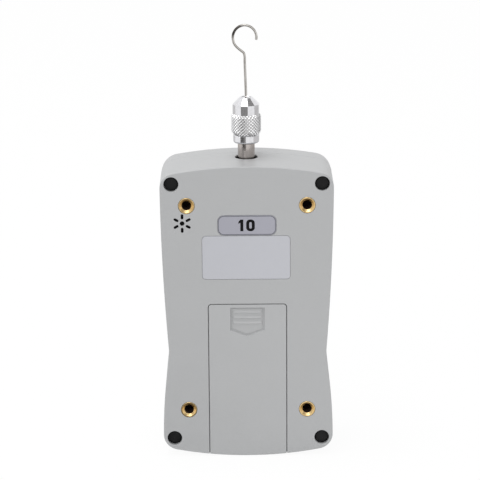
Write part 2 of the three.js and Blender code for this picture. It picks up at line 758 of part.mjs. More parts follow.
function frontCover() {
  const body = loft([[0, partingY], ...frontRound]);
  const lipInset = wall + lipClearance;
  const lip = loft([[lipInset, partingY - lipHeight], [lipInset, partingY + overrun]]);
  const cavity = loft([[wall + lipWall, partingY - 2 * lipHeight], [wall + lipWall, innerFrontY]]);
  const bossWays = housingScrews.map(([, x, z]) =>
    rodY(screwBossRadius + lipClearance, x, z, partingY - 2 * lipHeight, partingY));
  const posts = [
    ...housingScrews.map(([, x, z]) => rodY(screwBossRadius, x, z, partingY, innerFrontY + overrun)),
    ...boardScrews.map(([, x, z]) => rodY(boardBossRadius, x, z, boardFrontY, innerFrontY + overrun, 12)),
  ];
  const opening = slab(
    roundedRectangle(
      0, windowCentreZ, windowWidth - 2 * windowLedge, windowHeight - 2 * windowLedge, windowCorner / 2,
    ),
    partingY, frontY + overrun,
  );
  const pocket = slab(
    roundedRectangle(0, windowCentreZ, windowWidth + 2 * fit, windowHeight + 2 * fit, windowCorner + fit),
    frontY - windowThickness - windowSet, frontY + overrun,
  );
  const keyHoles = keyPlaces.map(([, x, z]) =>
    slab(
      roundedRectangle(x, z, keyWidth + 2 * keyGap, keyHeight + 2 * keyGap, keyCorner + keyGap),
      innerFrontY - overrun, frontY + overrun,
    ));
  const pilots = [
    ...housingScrews.map(([, x, z]) =>
      rodY(housingScrewRadius + fit, x, z, partingY - overrun, partingY + housingScrewBite + fit, 12)),
    ...boardScrews.map(([, x, z]) =>
      rodY(boardScrewRadius + fit, x, z, boardFrontY - overrun, boardFrontY + boardScrewBite + fit, 10)),
  ];
  const walls = cut(join(body, cut(lip, ...bossWays)), cavity);
  const shell = join(walls, ...posts.map((post) => post.intersect(body)));
  return cut(shell, opening, pocket, ...keyHoles, ...pilots, ...socketWays());
}

function batteryDoor() {
  const plate = slab(
    roundedRectangle(0, 0, doorWidth, 2 * doorTopZ, doorCorner), backY, doorInnerY,
  );
  const tongues = [-1, 1].map((side) => {
    const [left, right] = [side * (doorHalf - tongueReach), side * tongueHalf].sort((a, b) => a - b);
    return block(left, right, doorInnerY, tongueY, 0, doorTopZ - tongueReach);
  });
  const catchTab = block(
    -catchWidth / 2, catchWidth / 2, doorInnerY, tongueY, doorTopZ - 2 * catchReach, doorTopZ + catchReach,
  );
  const outside = loft([...backRound, [0, partingY]]);
  const gripTop = doorTopZ - gripTopMargin;
  // The hollow is a five-sided shape whose side and lower edges slope outwards to the face.
  const grip = (grow) => [
    new THREE.Vector2(-gripWidth / 2 - grow, gripTop),
    new THREE.Vector2(gripWidth / 2 + grow, gripTop),
    new THREE.Vector2(gripWidth / 2 + grow, gripTop - gripHeight - grow * gripCornerShare),
    new THREE.Vector2(0, gripTop - gripHeight - gripPoint - grow),
    new THREE.Vector2(-gripWidth / 2 - grow, gripTop - gripHeight - grow * gripCornerShare),
  ];
  const hollow = skin([
    [grip(gripChamfer), backY - overrun],
    [grip(gripChamfer), backY],
    [grip(0), backY + gripDepth],
  ]);
  const ridges = Array.from({ length: gripRidgeCount }, (_, i) => {
    const top = gripTop - gripRidgeInset - i * gripRidgePitch;
    return block(
      -gripWidth / 2 + gripRidgeInset, gripWidth / 2 - gripRidgeInset,
      backY + gripDepth - gripRidgeHeight, backY + gripDepth, top - gripRidgeWidth, top,
    );
  });
  return join(cut(join(plate, ...tongues, catchTab).intersect(outside), hollow), ...ridges);
}

// Pan-head screw along Y with a cross recess; the head points the way of the sign.
function screw(x, z, seatY, headRadius, headHeight, radius, length, sign, sides = 12) {
  const face = seatY + sign * headHeight;
  const rim = seatY + (sign * headHeight) / 2;
  const end = seatY - sign * length;
  const made = turnedY(
    [[0, face], [headRadius * screwCrownShare, face], [headRadius, rim], [headRadius, seatY],
      [radius, seatY], [radius, end], [0, end]],
    x, z, sides,
  );
  const depth = Math.min(crossSlotDepth, headHeight * screwSlotShare);
  const reach = Math.min(crossSlotLength / 2, headRadius * screwSlotShare);
  const [y0, y1] = [face - sign * depth, face + sign * depth].sort((a, b) => a - b);
  return cut(
    made,
    block(x - reach, x + reach, y0, y1, z - crossSlotWidth / 2, z + crossSlotWidth / 2),
    block(x - crossSlotWidth / 2, x + crossSlotWidth / 2, y0, y1, z - reach, z + reach),
  );
}

function insert(x, z) {
  const end = backY + insertLength;
  return turnedY(
    [[insertMouthRadius, backY], [insertRadius, backY], [insertRadius, end], [insertThreadRadius, end],
      [insertThreadRadius, backY + insertMouthDepth], [insertMouthRadius, backY]],
    x, z, 16,
  );
}

piece("rear_cover", backCover(), plastic);
piece("front_cover", frontCover(), plastic);
piece("battery_door", batteryDoor(), doorPlastic);
for (const [name, x, z] of housingScrews) {
  const length = partingY - screwSeatY + housingScrewBite;
  piece(
    "housing_screw_" + name,
    screw(
      x, z, screwSeatY, housingScrewHeadRadius, housingScrewHeadHeight, housingScrewRadius, length, -1,
    ),
    blackSteel,
  );
}
for (const [name, x, z] of inserts) piece("mounting_insert_" + name, insert(x, z), brass);

function label(x, z, width, height, corner) {
  const back = backY + labelPocket;
  return slab(roundedRectangle(x, z, width, height, corner), back - labelThickness, back);
}

piece(
  "capacity_label",
  label(0, capacityLabelZ, capacityLabelWidth, capacityLabelHeight, capacityLabelCorner),
  capacityFoil,
);
piece(
  "blank_label",
  label(blankLabelX, blankLabelZ, blankLabelWidth, blankLabelHeight, blankLabelCorner),
  foil,
);

// Measuring shaft: a ground rod with a stud at each end.
function measuringShaft() {
  const stopNutBottomZ = stopNutTopZ - nutHeight;
  return turnedZ(
    [[0, stopNutBottomZ - studEnd], [lowerStudRadius, stopNutBottomZ - studEnd],
      [lowerStudRadius, cellBeamTopZ], [shaftRadius, cellBeamTopZ], [shaftRadius, shaftShoulderZ],
      [studRadius, shaftShoulderZ], [studRadius, shaftShoulderZ + studLength],
      [0, shaftShoulderZ + studLength]],
    0, 0, 32,
  );
}

function hexNut(bottomZ) {
  const outer = rodZ(nutCornerRadius, 0, 0, bottomZ, bottomZ + nutHeight, nutSides);
  const bore = rodZ(lowerStudRadius + fit, 0, 0, bottomZ - overrun, bottomZ + nutHeight + overrun);
  return cut(outer, bore);
}

piece("measuring_shaft", measuringShaft(), steel);
piece("shaft_lock_nut", hexNut(lockNutBottomZ), steel);
piece("overload_stop_nut", hexNut(stopNutTopZ - nutHeight), steel);

function loadCell() {
  const [y0, y1] = [-cellBeamDepth / 2, cellBeamDepth / 2];
  const middleZ = cellBeamTopZ - cellBeamHeight / 2;
  const beam = block(-cellLiveReach, cellBeamFixedX, y0, y1, cellBeamBottomZ, cellBeamTopZ);
  const [left, right] = [cellHoleCentreX - cellHoleSpacing / 2, cellHoleCentreX + cellHoleSpacing / 2];
  const holes = [left, right].map((x) => rodY(cellHoleRadius, x, middleZ, y0 - overrun, y1 + overrun));
  const slot = block(
    left, right, y0 - overrun, y1 + overrun, middleZ - cellSlotHeight / 2, middleZ + cellSlotHeight / 2,
  );
  const studHole = rodZ(cellStudHoleRadius, 0, 0, cellBeamBottomZ - overrun, cellBeamTopZ + overrun);
  const screwHoles = [cellScrewX1, cellScrewX2].map((x) =>
    rodZ(cellScrewRadius + fit, x, 0, cellBeamBottomZ - overrun, cellBeamTopZ + overrun, 12));
  return cut(beam, ...holes, slot, studHole, ...screwHoles);
}

function bracket() {
  const [y0, y1] = [-cellBeamDepth / 2, cellBeamDepth / 2];
  const arm = block(-cellLiveReach, bracketRightX, y0, y1, bracketArmBottomZ, bracketArmTopZ);
  const riser = block(bracketRiserX, bracketRightX, y0, y1, bracketArmBottomZ, cellBeamBottomZ);
  const foot = block(
    bracketFootLeftX, bracketRightX, bracketFootY, y0, bracketFootBottomZ, cellBeamBottomZ,
  );
  const studHole = rodZ(bracketStudHoleRadius, 0, 0, bracketArmBottomZ - overrun, bracketArmTopZ + overrun);
  const holeBottomZ = cellBeamBottomZ - cellScrewBite - fit;
  const cellHoles = [cellScrewX1, cellScrewX2].map((x) =>
    rodZ(cellScrewRadius + fit, x, 0, holeBottomZ, cellBeamBottomZ + overrun, 12));
  const footHoles = [bracketScrewX1, bracketScrewX2].map((x) =>
    rodY(cellScrewRadius + fit, x, bracketScrewZ, bracketFootY - overrun, y0 + overrun, 12));
  return cut(join(arm, riser, foot), studHole, ...cellHoles, ...footHoles);
}

piece("load_cell", loadCell(), aluminium);
piece("load_cell_bracket", bracket(), aluminium);
[["upper", cellBeamTopZ, 1], ["lower", cellBeamBottomZ, -1]].forEach(([name, faceZ, side]) => {
  const [z0, z1] = [faceZ, faceZ + side * gaugeThickness].sort((a, b) => a - b);
  const [left, right] = [nutCornerRadius + gaugeEndGap, bracketRiserX - gaugeEndGap];
  const made = block(left, right, -gaugeWidth / 2, gaugeWidth / 2, z0, z1);
  piece("strain_gauge_" + name, made, film);
});
[["inner", cellScrewX1], ["outer", cellScrewX2]].forEach(([name, x]) => {
  const length = cellBeamHeight + cellScrewBite;
  const made = screw(
    0, 0, 0, cellScrewHeadRadius, cellScrewHeadHeight, cellScrewRadius, length, 1,
  );
  piece("load_cell_screw_" + name, made.rotate([90, 0, 0]).translate([x, 0, cellBeamTopZ]), blackSteel);
});
[["inner", bracketScrewX1], ["outer", bracketScrewX2]].forEach(([name, x]) => {
  const length = bracketFootThickness + cellScrewBite - 2 * fit;
  const made = screw(
    x, bracketScrewZ, -cellBeamDepth / 2, cellScrewHeadRadius, cellScrewHeadHeight,
    cellScrewRadius, length, 1,
  );
  piece("bracket_screw_" + name, made, blackSteel);
});

// Chuck: the body screws onto the shaft, and the nut draws the collet down onto the hook's shank.
const chuckRingTopZ = shaftShoulderZ + chuckRingHeight;
const nutBottomZ = chuckRingTopZ + chuckNutGap;
const bandBottomZ = nutBottomZ + nutEnvelopeHeight;
const coneBottomZ = bandBottomZ + noseBandHeight;
const noseTopZ = coneBottomZ + noseConeHeight;
const noseSeatZ = noseTopZ - noseBoreDepth;

function chuckBody() {
  const inner = studRadius + fit;
  const socketTop = shaftShoulderZ + studLength + fit;
  return turnedZ(
    [[inner, shaftShoulderZ], [chuckRingRadius - chuckRingChamfer, shaftShoulderZ],
      [chuckRingRadius, shaftShoulderZ + chuckRingChamfer], [chuckRingRadius, chuckRingTopZ],
      [chuckThreadRadius, chuckRingTopZ], [chuckThreadRadius, chuckRingTopZ + chuckThreadHeight],
      [chuckBoreRadius, chuckRingTopZ + chuckThreadHeight], [chuckBoreRadius, socketTop],
      [inner, socketTop], [inner, shaftShoulderZ]],
    0, 0, 28,
  );
}

// Radius of the knurled band at a share of its height: a long taper below and a short chamfer above.
function knurlEnvelope(z) {
  const rise = Math.min(1, (z - nutBottomZ) / knurlTaper);
  const fall = Math.min(1, (bandBottomZ - z) / knurlChamfer);
  const low = chuckRingRadius + (knurlRadius - chuckRingRadius) * Math.sin((rise * Math.PI) / 2);
  return low - knurlChamferDrop * (1 - fall);
}

// Diamond knurl: peaks and valleys alternate on a grid, and each cell is split along its valley line.
function knurledBand() {
  const columns = 2 * knurlCount;
  const levels = Array.from({ length: knurlRows + 1 }, (_, j) => {
    return nutBottomZ + (j / knurlRows) * nutEnvelopeHeight;
  });
  const at = (i, j) => {
    const end = j === 0 || j === knurlRows;
    const valley = end || (i + j) % 2 === 0;
    const radius = knurlEnvelope(levels[j]) - (valley ? knurlDepth : 0);
    const turn = (i / columns) * 2 * Math.PI;
    return new THREE.Vector3(radius * Math.cos(turn), radius * Math.sin(turn), levels[j]);
  };
  const bottom = new THREE.Vector3(0, 0, levels[0]);
  const top = new THREE.Vector3(0, 0, levels[knurlRows]);
  const points = [];
  for (let i = 0; i < columns; i += 1) {
    const next = (i + 1) % columns;
    points.push(bottom, at(next, 0), at(i, 0), top, at(i, knurlRows), at(next, knurlRows));
    for (let j = 0; j < knurlRows; j += 1) {
      const [a, b, c, d] = [at(i, j), at(next, j), at(next, j + 1), at(i, j + 1)];
      const split = (i + j) % 2 === 0;
      points.push(...(split ? [a, b, c, a, c, d] : [a, b, d, b, c, d]));
    }
  }
  return solid(new THREE.BufferGeometry().setFromPoints(points));
}

function chuckNut() {
  const nose = turnedZ(
    [[0, bandBottomZ - overrun], [noseBandRadius, bandBottomZ - overrun], [noseBandRadius, coneBottomZ],
      [noseTipRadius, noseTopZ], [0, noseTopZ]],
    0, 0, noseFacets,
  ).rotate([0, 0, THREE.MathUtils.radToDeg(noseTurn)]);
  const bore = turnedZ(
    [[0, nutBottomZ - overrun], [nutBoreRadius, nutBottomZ - overrun],
      [nutBoreRadius, noseSeatZ - noseSeatDepth], [noseBoreRadius, noseSeatZ],
      [noseBoreRadius, noseTopZ + overrun], [0, noseTopZ + overrun]],
    0, 0, 32,
  );
  return cut(join(knurledBand(), nose), bore);
}

// The collet's shoulder lies under the nut's seat; three slots let its nose close on the wire.
function collet() {
  const slope = (nutBoreRadius - noseBoreRadius) / noseSeatDepth;
  const top = noseTopZ - colletNoseSet;
  const shoulderTop = noseSeatZ - chuckNutGap;
  const shoulderRise = (colletShoulderRadius - colletNoseRadius) / slope;
  const shoulderBottom = shoulderTop - shoulderRise - colletShoulderLength;
  const bore = wireRadius + colletBoreClearance;
  const bottom = shoulderBottom - colletTailLength;
  const body = turnedZ(
    [[bore, bottom], [colletTailRadius, bottom], [colletTailRadius, shoulderBottom],
      [colletShoulderRadius, shoulderBottom], [colletShoulderRadius, shoulderTop - shoulderRise],
      [colletNoseRadius, shoulderTop], [colletNoseRadius, top], [bore, top], [bore, bottom]],
    0, 0, 18,
  );
  const slots = [0, 1, 2].map((i) =>
    block(
      0, colletShoulderRadius + overrun, -colletSlotWidth / 2, colletSlotWidth / 2,
      top - colletSlotDepth, top + overrun,
    ).rotate([0, 0, 30 + i * 120]));
  return cut(body, ...slots);
}

piece("chuck_body", chuckBody(), nickel);
piece("chuck_nut", chuckNut(), nickel);
piece("chuck_collet", collet(), nickel);

// Hook: a straight shank in the collet, a slight lean above it, a reverse bend and an open eye.
function hook() {
  const bottomZ = noseTopZ - hookShankHidden;
  const points = [
    new THREE.Vector3(0, 0, bottomZ),
    new THREE.Vector3(0, 0, noseTopZ - hookShankHidden / 2),
    new THREE.Vector3(0, 0, noseTopZ),
    new THREE.Vector3(-hookLean / 2, 0, noseTopZ + hookShankRise / 2),
    new THREE.Vector3(-hookLean, 0, noseTopZ + hookShankRise),
    new THREE.Vector3(hookBendX, 0, noseTopZ + hookBendRise),
  ];
  const hookCentreZ = noseTopZ + hookCentreRise;
  for (let i = 0; i <= hookPoints; i += 1) {
    const turn = hookHeelAngle + ((hookTipAngle - hookHeelAngle) * i) / hookPoints;
    const [x, z] = [hookCentreX + hookRadius * Math.cos(turn), hookCentreZ + hookRadius * Math.sin(turn)];
    points.push(new THREE.Vector3(x, 0, z));
  }
  const section = new THREE.Shape().absarc(0, 0, wireRadius, 0, 2 * Math.PI);
  const path = new THREE.CatmullRomCurve3(points, false, "centripetal");
  return solid(
    new THREE.ExtrudeGeometry(section, {
      steps: hookSteps, extrudePath: path, curveSegments: hookSides,
    }),
  );
}

piece("hook", hook(), wire);

// Display
function displayPanel(width, height, y0, y1) {
  return block(-width / 2, width / 2, y0, y1, windowCentreZ - height / 2, windowCentreZ + height / 2);
}

const windowBackY = frontY - windowThickness - windowSet;
piece(
  "display_window",
  slab(
    roundedRectangle(0, windowCentreZ, windowWidth, windowHeight, windowCorner),
    windowBackY + fit, frontY - windowSet,
  ),
  glass,
);
const lcdBackY = innerFrontY - displayGap - lcdThickness;
piece("lcd_panel", displayPanel(lcdWidth, lcdHeight, lcdBackY, innerFrontY - displayGap), liquidCrystal);
piece(
  "lcd_backlight",
  displayPanel(lcdWidth, lcdHeight, boardFrontY + displayGap, lcdBackY - displayGap),
  diffuser,
);

// Main board with the controller chip, buzzer and sockets on its back and the switches on its front.
function mainBoard() {
  const board = block(-boardHalf, boardHalf, boardBackY, boardFrontY, boardBottomZ, boardTopZ);
  const holes = boardScrews.map(([, holeX, holeZ]) =>
    rodY(boardScrewRadius + fit, holeX, holeZ, boardBackY - overrun, boardFrontY + overrun, 12));
  return cut(board, ...holes);
}

piece("main_board", mainBoard(), laminate);
piece(
  "controller_chip",
  block(
    chipX - chipSize / 2, chipX + chipSize / 2, boardBackY - chipHeight, boardBackY,
    chipZ - chipSize / 2, chipZ + chipSize / 2,
  ),
  blackPlastic,
);
for (const [name, x, z] of boardScrews) {
  const made = screw(
    x, z, boardBackY, boardScrewHeadRadius, boardScrewHeadHeight, boardScrewRadius,
    boardThickness + boardScrewBite, -1, 10,
  );
  piece("board_screw_" + name, made, steel);
}
piece(
  "buzzer",
  cut(
    rodY(buzzerRadius, buzzerX, buzzerZ, boardBackY - buzzerHeight, boardBackY),
    rodY(
      buzzerHoleRadius, buzzerX, buzzerZ, boardBackY - buzzerHeight - overrun,
      boardBackY - buzzerHeight + buzzerHoleDepth, 12,
    ),
  ),
  blackPlastic,
);

function usbSocket() {
  const left = -halfWidthAt(usbZ) + socketSet;
  const [z0, z1] = [usbZ - usbWidth / 2, usbZ + usbWidth / 2];
  const y0 = boardBackY - usbHeight;
  const shell = block(left, left + usbDepth, y0, boardBackY, z0, z1);
  const mouth = block(
    left - overrun, left + usbDepth - usbShell, y0 + usbShell, boardBackY - usbShell,
    z0 + usbShell, z1 - usbShell,
  );
  const tongueY0 = (y0 + boardBackY - usbTongueThickness) / 2;
  const tongue = block(
    left + usbTongueInset, left + usbDepth, tongueY0, tongueY0 + usbTongueThickness,
    z0 + usbShell + usbTongueInset, z1 - usbShell - usbTongueInset,
  );
  return join(cut(shell, mouth), tongue);
}

function powerJack() {
  const left = -halfWidthAt(jackZ) + socketSet;
  const y0 = boardBackY - jackHeight;
  const middle = (y0 + boardBackY) / 2;
  const housing = block(
    left, left + jackDepth, y0, boardBackY, jackZ - jackWidth / 2, jackZ + jackWidth / 2,
  );
  const along = (radius, from, to) =>
    rodZ(radius, 0, 0, from, to, 20).rotate([0, 90, 0]).translate([0, middle, jackZ]);
  const bore = along(jackBoreRadius, left - overrun, left + jackBoreDepth);
  const pin = along(jackPinRadius, left + usbTongueInset, left + jackDepth - overrun);
  return join(cut(housing, bore), pin);
}

piece("usb_socket", usbSocket(), nickel);
piece("power_jack", powerJack(), blackPlastic);

// Keys: a cap with a flange behind the wall and a stem over its switch.
const flangeFrontY = innerFrontY - keyGap;
const flangeBackY = flangeFrontY - keyFlangeThickness;
const switchTopY = boardFrontY + switchHeight;
const plungerTopY = flangeBackY - keyTravel - 2 * fit;

function key(x, z) {
  const tip = frontY + keyProud;
  const shape = (grow) =>
    roundedRectangle(x, z, keyWidth + 2 * grow, keyHeight + 2 * grow, keyCorner + grow);
  const ring = (grow) => shape(grow).getPoints(2).slice(1).reverse();
  const cap = skin([
    [ring(0), flangeBackY],
    [ring(0), tip - keyDome],
    [ring(-keyDome), tip],
  ]);
  return join(cap, slab(shape(keyFlange), flangeBackY, flangeFrontY, 1));
}

for (const [name, x, z] of keyPlaces) {
  piece("key_" + name, key(x, z), rubber);
  const half = switchSize / 2;
  const body = block(x - half, x + half, boardFrontY, switchTopY, z - half, z + half);
  const plunger = rodY(switchPlungerRadius, x, z, boardFrontY, plungerTopY, 12);
  piece("switch_" + name, join(body, plunger), blackPlastic);
}

// Battery tray, cells, contacts and springs
function batteryTray() {
  const outer = block(-trayHalf, trayHalf, trayBackY, trayFloorY + trayWall, trayBottomZ, trayTopZ);
  const inner = block(
    -trayHalf + trayWall, trayHalf - trayWall, trayBackY - overrun, trayFloorY,
    trayBottomZ + trayWall, trayTopZ - trayWall,
  );
  return cut(outer, inner);
}

// A cell stands with its nub up or down.
function cell(x, nubUp) {
  const profile = [
    [0, 0], [cellRadius - cellRim, 0], [cellRadius, cellRim], [cellRadius, cellBodyLength - cellRim],
    [cellRadius - cellRim, cellBodyLength], [cellNubRadius, cellBodyLength], [cellNubRadius, cellLength],
    [0, cellLength],
  ];
  const placed = profile.map(([radius, z]) => [radius, nubUp ? cellBaseZ + z : cellBaseZ + cellLength - z]);
  return turnedZ(placed, x, cellY, 20);
}

// Contact plate at one end of the tray, under the cells from one x to another.
function contact(fromX, toX, atTop) {
  const wallZ = atTop ? trayTopZ - trayWall : trayBottomZ + trayWall;
  const sign = atTop ? -1 : 1;
  const [z0, z1] = [wallZ + sign * contactSeatGap, wallZ + sign * (contactSeatGap + contactThickness)].sort(
    (a, b) => a - b,
  );
  const [x0, x1] = [fromX - contactWidth / 2, toX + contactWidth / 2];
  return block(x0, x1, cellY - contactHeight / 2, cellY + contactHeight / 2, z0, z1);
}

// Conical compression spring between a contact and the flat end of a cell.
function batterySpring(x, atTop) {
  const sign = atTop ? -1 : 1;
  const wallZ = atTop ? trayTopZ - trayWall : trayBottomZ + trayWall;
  const seatZ = wallZ + sign * (contactSeatGap + contactThickness + springGap + springWire / 2);
  const endZ = (atTop ? cellBaseZ + cellLength : cellBaseZ) - sign * (springGap + springWire / 2);
  const steps = springTurns * springStepsPerTurn;
  const points = Array.from({ length: steps + 1 }, (_, i) => {
    const share = i / steps;
    const radius = springBaseRadius + (springTipRadius - springBaseRadius) * share;
    const turn = share * springTurns * 2 * Math.PI;
    return new THREE.Vector3(
      x + radius * Math.cos(turn), cellY + radius * Math.sin(turn), seatZ + (endZ - seatZ) * share,
    );
  });
  let least = Infinity;
  points.forEach((p, i) => {
    points.slice(i + springStepsPerTurn / 2).forEach((q) => {
      least = Math.min(least, p.distanceTo(q) - springWire);
    });
  });
  console.log("least gap of a battery spring to itself: " + least.toFixed(2) + " mm");
  return tube(points, springWire / 2, springSides);
}

// A tube of few sides through points, closed at both ends.
function tube(points, radius, sides) {
  const frames = points.map((p, i) => {
    const ahead = points[Math.min(i + 1, points.length - 1)];
    const behind = points[Math.max(i - 1, 0)];
    const along = ahead.clone().sub(behind).normalize();
    const side = new THREE.Vector3(0, 0, 1).cross(along).normalize();
    const up = along.clone().cross(side);
    return Array.from({ length: sides }, (_, k) => {
      const turn = (k / sides) * 2 * Math.PI;
      return p.clone()
        .addScaledVector(side, radius * Math.cos(turn))
        .addScaledVector(up, radius * Math.sin(turn));
    });
  });
  const triangles = [];
  frames.slice(1).forEach((ring, i) => {
    const last = frames[i];
    for (let k = 0; k < sides; k += 1) {
      const next = (k + 1) % sides;
      triangles.push(last[k], last[next], ring[next], last[k], ring[next], ring[k]);
    }
  });
  const [first, end] = [frames[0], frames[frames.length - 1]];
  for (let k = 1; k + 1 < sides; k += 1) {
    triangles.push(first[0], first[k + 1], first[k], end[0], end[k], end[k + 1]);
  }
  return solid(new THREE.BufferGeometry().setFromPoints(triangles));
}

const cellX = cellSpacing / 2;
piece("battery_tray", batteryTray(), blackPlastic);
piece("battery_cell_left", cell(-cellX, true), cellJacket);
piece("battery_cell_right", cell(cellX, false), cellJacket);
piece("battery_contact_bridge", contact(-cellX, cellX, true), nickel);
piece("battery_contact_negative", contact(-cellX, -cellX, false), nickel);
piece("battery_contact_positive", contact(cellX, cellX, false), nickel);
piece("battery_spring_negative", batterySpring(-cellX, false), nickel);
piece("battery_spring_bridge", batterySpring(cellX, true), nickel);

export default gauge;
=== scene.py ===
import math
import bmesh
import bpy
from mathutils import Matrix, Vector


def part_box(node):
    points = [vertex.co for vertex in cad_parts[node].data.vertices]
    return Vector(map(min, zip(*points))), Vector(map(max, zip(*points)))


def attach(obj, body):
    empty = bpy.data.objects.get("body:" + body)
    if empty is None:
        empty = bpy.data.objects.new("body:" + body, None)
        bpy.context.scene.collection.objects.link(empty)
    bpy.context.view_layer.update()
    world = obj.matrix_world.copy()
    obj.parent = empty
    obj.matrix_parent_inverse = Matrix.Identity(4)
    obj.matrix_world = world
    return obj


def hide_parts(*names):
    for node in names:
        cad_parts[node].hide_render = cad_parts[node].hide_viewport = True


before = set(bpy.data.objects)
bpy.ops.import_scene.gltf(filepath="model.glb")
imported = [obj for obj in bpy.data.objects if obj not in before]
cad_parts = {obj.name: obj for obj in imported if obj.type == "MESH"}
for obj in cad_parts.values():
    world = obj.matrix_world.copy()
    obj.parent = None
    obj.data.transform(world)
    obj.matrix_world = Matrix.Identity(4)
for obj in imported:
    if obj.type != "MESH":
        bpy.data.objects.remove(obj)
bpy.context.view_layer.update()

# Rear cover: the deep half of the housing, a tub injection-moulded in light grey plastic with a fine
# spark-eroded grain. Bosses for the screws and inserts, the rails of the battery bay, the label
# pockets and the sound outlet are moulded with it, and its rim closes against the front cover.
MM = 0.001


def extent(node):
    """Lowest and highest corner of a CAD node, in millimetres."""
    return [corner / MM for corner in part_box(node)]


def middle(node):
    """Centre of a CAD node, in millimetres."""
    low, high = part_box(node)
    return (low + high) / 2 / MM


def centres(stem, names):
    """Centres of a set of CAD nodes, as x and z."""
    return [(middle(stem + name).x, middle(stem + name).z) for name in names]


rear_low, rear_high = extent("rear_cover")
housing_height = rear_high.z - rear_low.z
back_y, parting_y = rear_low.y, rear_high.y
wall, back_wall = 2.2, 2.4
inner_back_y = back_y + back_wall
back_edge_radius = 0.35
seam_break = 0.16
fit, overrun = 0.1, 1.0


def as_object(name, points, faces):
    """Mesh object from points in millimetres, with its faces turned outwards."""
    data = bpy.data.meshes.new(name)
    data.from_pydata([Vector(point) * MM for point in points], [], faces)
    work = bmesh.new()
    work.from_mesh(data)
    bmesh.ops.recalc_face_normals(work, faces=work.faces)
    work.to_mesh(data)
    work.free()
    made = bpy.data.objects.new(name, data)
    bpy.context.scene.collection.objects.link(made)
    return made


def skin(name, rings):
    """Closed skin through rings of as many points each, with a flat cap at both ends."""
    count = len(rings[0])
    last = (len(rings) - 1) * count
    faces = [tuple(range(count)), tuple(range(last, last + count))]
    for start in range(0, last, count):
        for i in range(count):
            j = (i + 1) % count
            faces.append((start + i, start + j, start + count + j, start + count + i))
    return as_object(name, [point for ring in rings for point in ring], faces)


def turned(name, profile, steps=64):
    """Solid turned about Z. The profile holds radius and z, from axis to axis or closed on itself."""
    closed = profile[0][0] > 0
    rows, points, faces = [], [], []
    for radius, z in profile:
        if radius == 0:
            rows.append([len(points)] * steps)
            points.append((0, 0, z))
            continue
        rows.append(list(range(len(points), len(points) + steps)))
        for i in range(steps):
            turn = 2 * math.pi * i / steps
            points.append((radius * math.cos(turn), radius * math.sin(turn), z))
    for low, high in zip(rows, rows[1:] + rows[:1] if closed else rows[1:]):
        for i in range(steps):
            j = (i + 1) % steps
            corners = dict.fromkeys((low[i], low[j], high[j], high[i]))
            if len(corners) > 2:
                faces.append(tuple(corners))
    return as_object(name, points, faces)


def set_in(piece, x, z, y=0.0, facing=-1):
    """Turns a piece made along Z so that its +Z faces the back (-1) or the front (1), at a place."""
    turn = Matrix.Rotation(math.radians(90) * -facing, 4, "X")
    piece.data.transform(Matrix.Translation(Vector((x, y, z)) * MM) @ turn)
    return piece


def settle(piece):
    """Turns a piece that has modifiers into a plain mesh."""
    graph = bpy.context.evaluated_depsgraph_get()
    plain = bpy.data.meshes.new_from_object(
        piece.evaluated_get(graph), preserve_all_data_layers=True, depsgraph=graph
    )
    piece.modifiers.clear()
    piece.data = plain
    return piece


def carve(body, tools, operation="DIFFERENCE"):
    """Cuts, joins or crosses a closed piece with others, which are used up."""
    for tool in tools:
        step = body.modifiers.new("carve", "BOOLEAN")
        step.operation = operation
        step.solver = "MANIFOLD"
        step.object = tool
    settle(body)
    for tool in tools:
        bpy.data.objects.remove(tool)
    return body


def smooth(piece, angle):
    """Merges flat areas, then shades curved faces smooth and keeps edges sharper than the angle."""
    work = bmesh.new()
    work.from_mesh(piece.data)
    bmesh.ops.remove_doubles(work, verts=work.verts, dist=0.002 * MM)
    bmesh.ops.dissolve_limit(
        work, angle_limit=math.radians(0.2), verts=work.verts, edges=work.edges
    )
    work.to_mesh(piece.data)
    work.free()
    for polygon in piece.data.polygons:
        polygon.use_smooth = True
    piece.data.set_sharp_from_angle(angle=math.radians(angle))
    step = piece.modifiers.new("even_normals", "WEIGHTED_NORMAL")
    step.keep_sharp = True
    step.weight = 100
    settle(piece)


def block(name, x0, x1, y0, y1, z0, z1):
    corners = [(x, y, z) for x in (x0, x1) for y in (y0, y1) for z in (z0, z1)]
    faces = [(0, 1, 3, 2), (4, 5, 7, 6), (0, 1, 5, 4), (2, 3, 7, 6), (0, 2, 6, 4), (1, 3, 7, 5)]
    return as_object(name, corners, faces)


def rod(name, radius, x, z, y0, y1, steps=48):
    """Round bar along Y."""
    made = turned(name, [(0, y0), (radius, y0), (radius, y1), (0, y1)], steps)
    return set_in(made, x, z, facing=1)


def quarter(radius, steps=6):
    """Inset and depth of each step of a quarter round, from a face to the side that meets it."""
    turns = [math.radians(90) * i / steps for i in range(steps + 1)]
    return [(radius * (1 - math.sin(turn)), radius * (1 - math.cos(turn))) for turn in turns]


def well(name, radius, x, z, depth, lip, steps=64):
    """Cutter for a round hole in the back, whose mouth is rounded over."""
    mouth = [(radius + grow, -down) for grow, down in quarter(lip)]
    profile = [(0, overrun), (mouth[0][0], overrun), *mouth, (radius, -depth), (0, -depth)]
    return set_in(turned(name, profile, steps), x, z, back_y)


def rounded_rectangle(width, height, corner, steps=8):
    """Points of a rectangle with round corners about the origin, as x and z."""
    points = []
    for k, (side_x, side_z) in enumerate([(1, -1), (1, 1), (-1, 1), (-1, -1)]):
        for i in range(steps + 1):
            turn = math.radians(90) * (k - 1 + i / steps)
            x = side_x * (width / 2 - corner) + corner * math.cos(turn)
            points.append((x, side_z * (height / 2 - corner) + corner * math.sin(turn)))
    return points


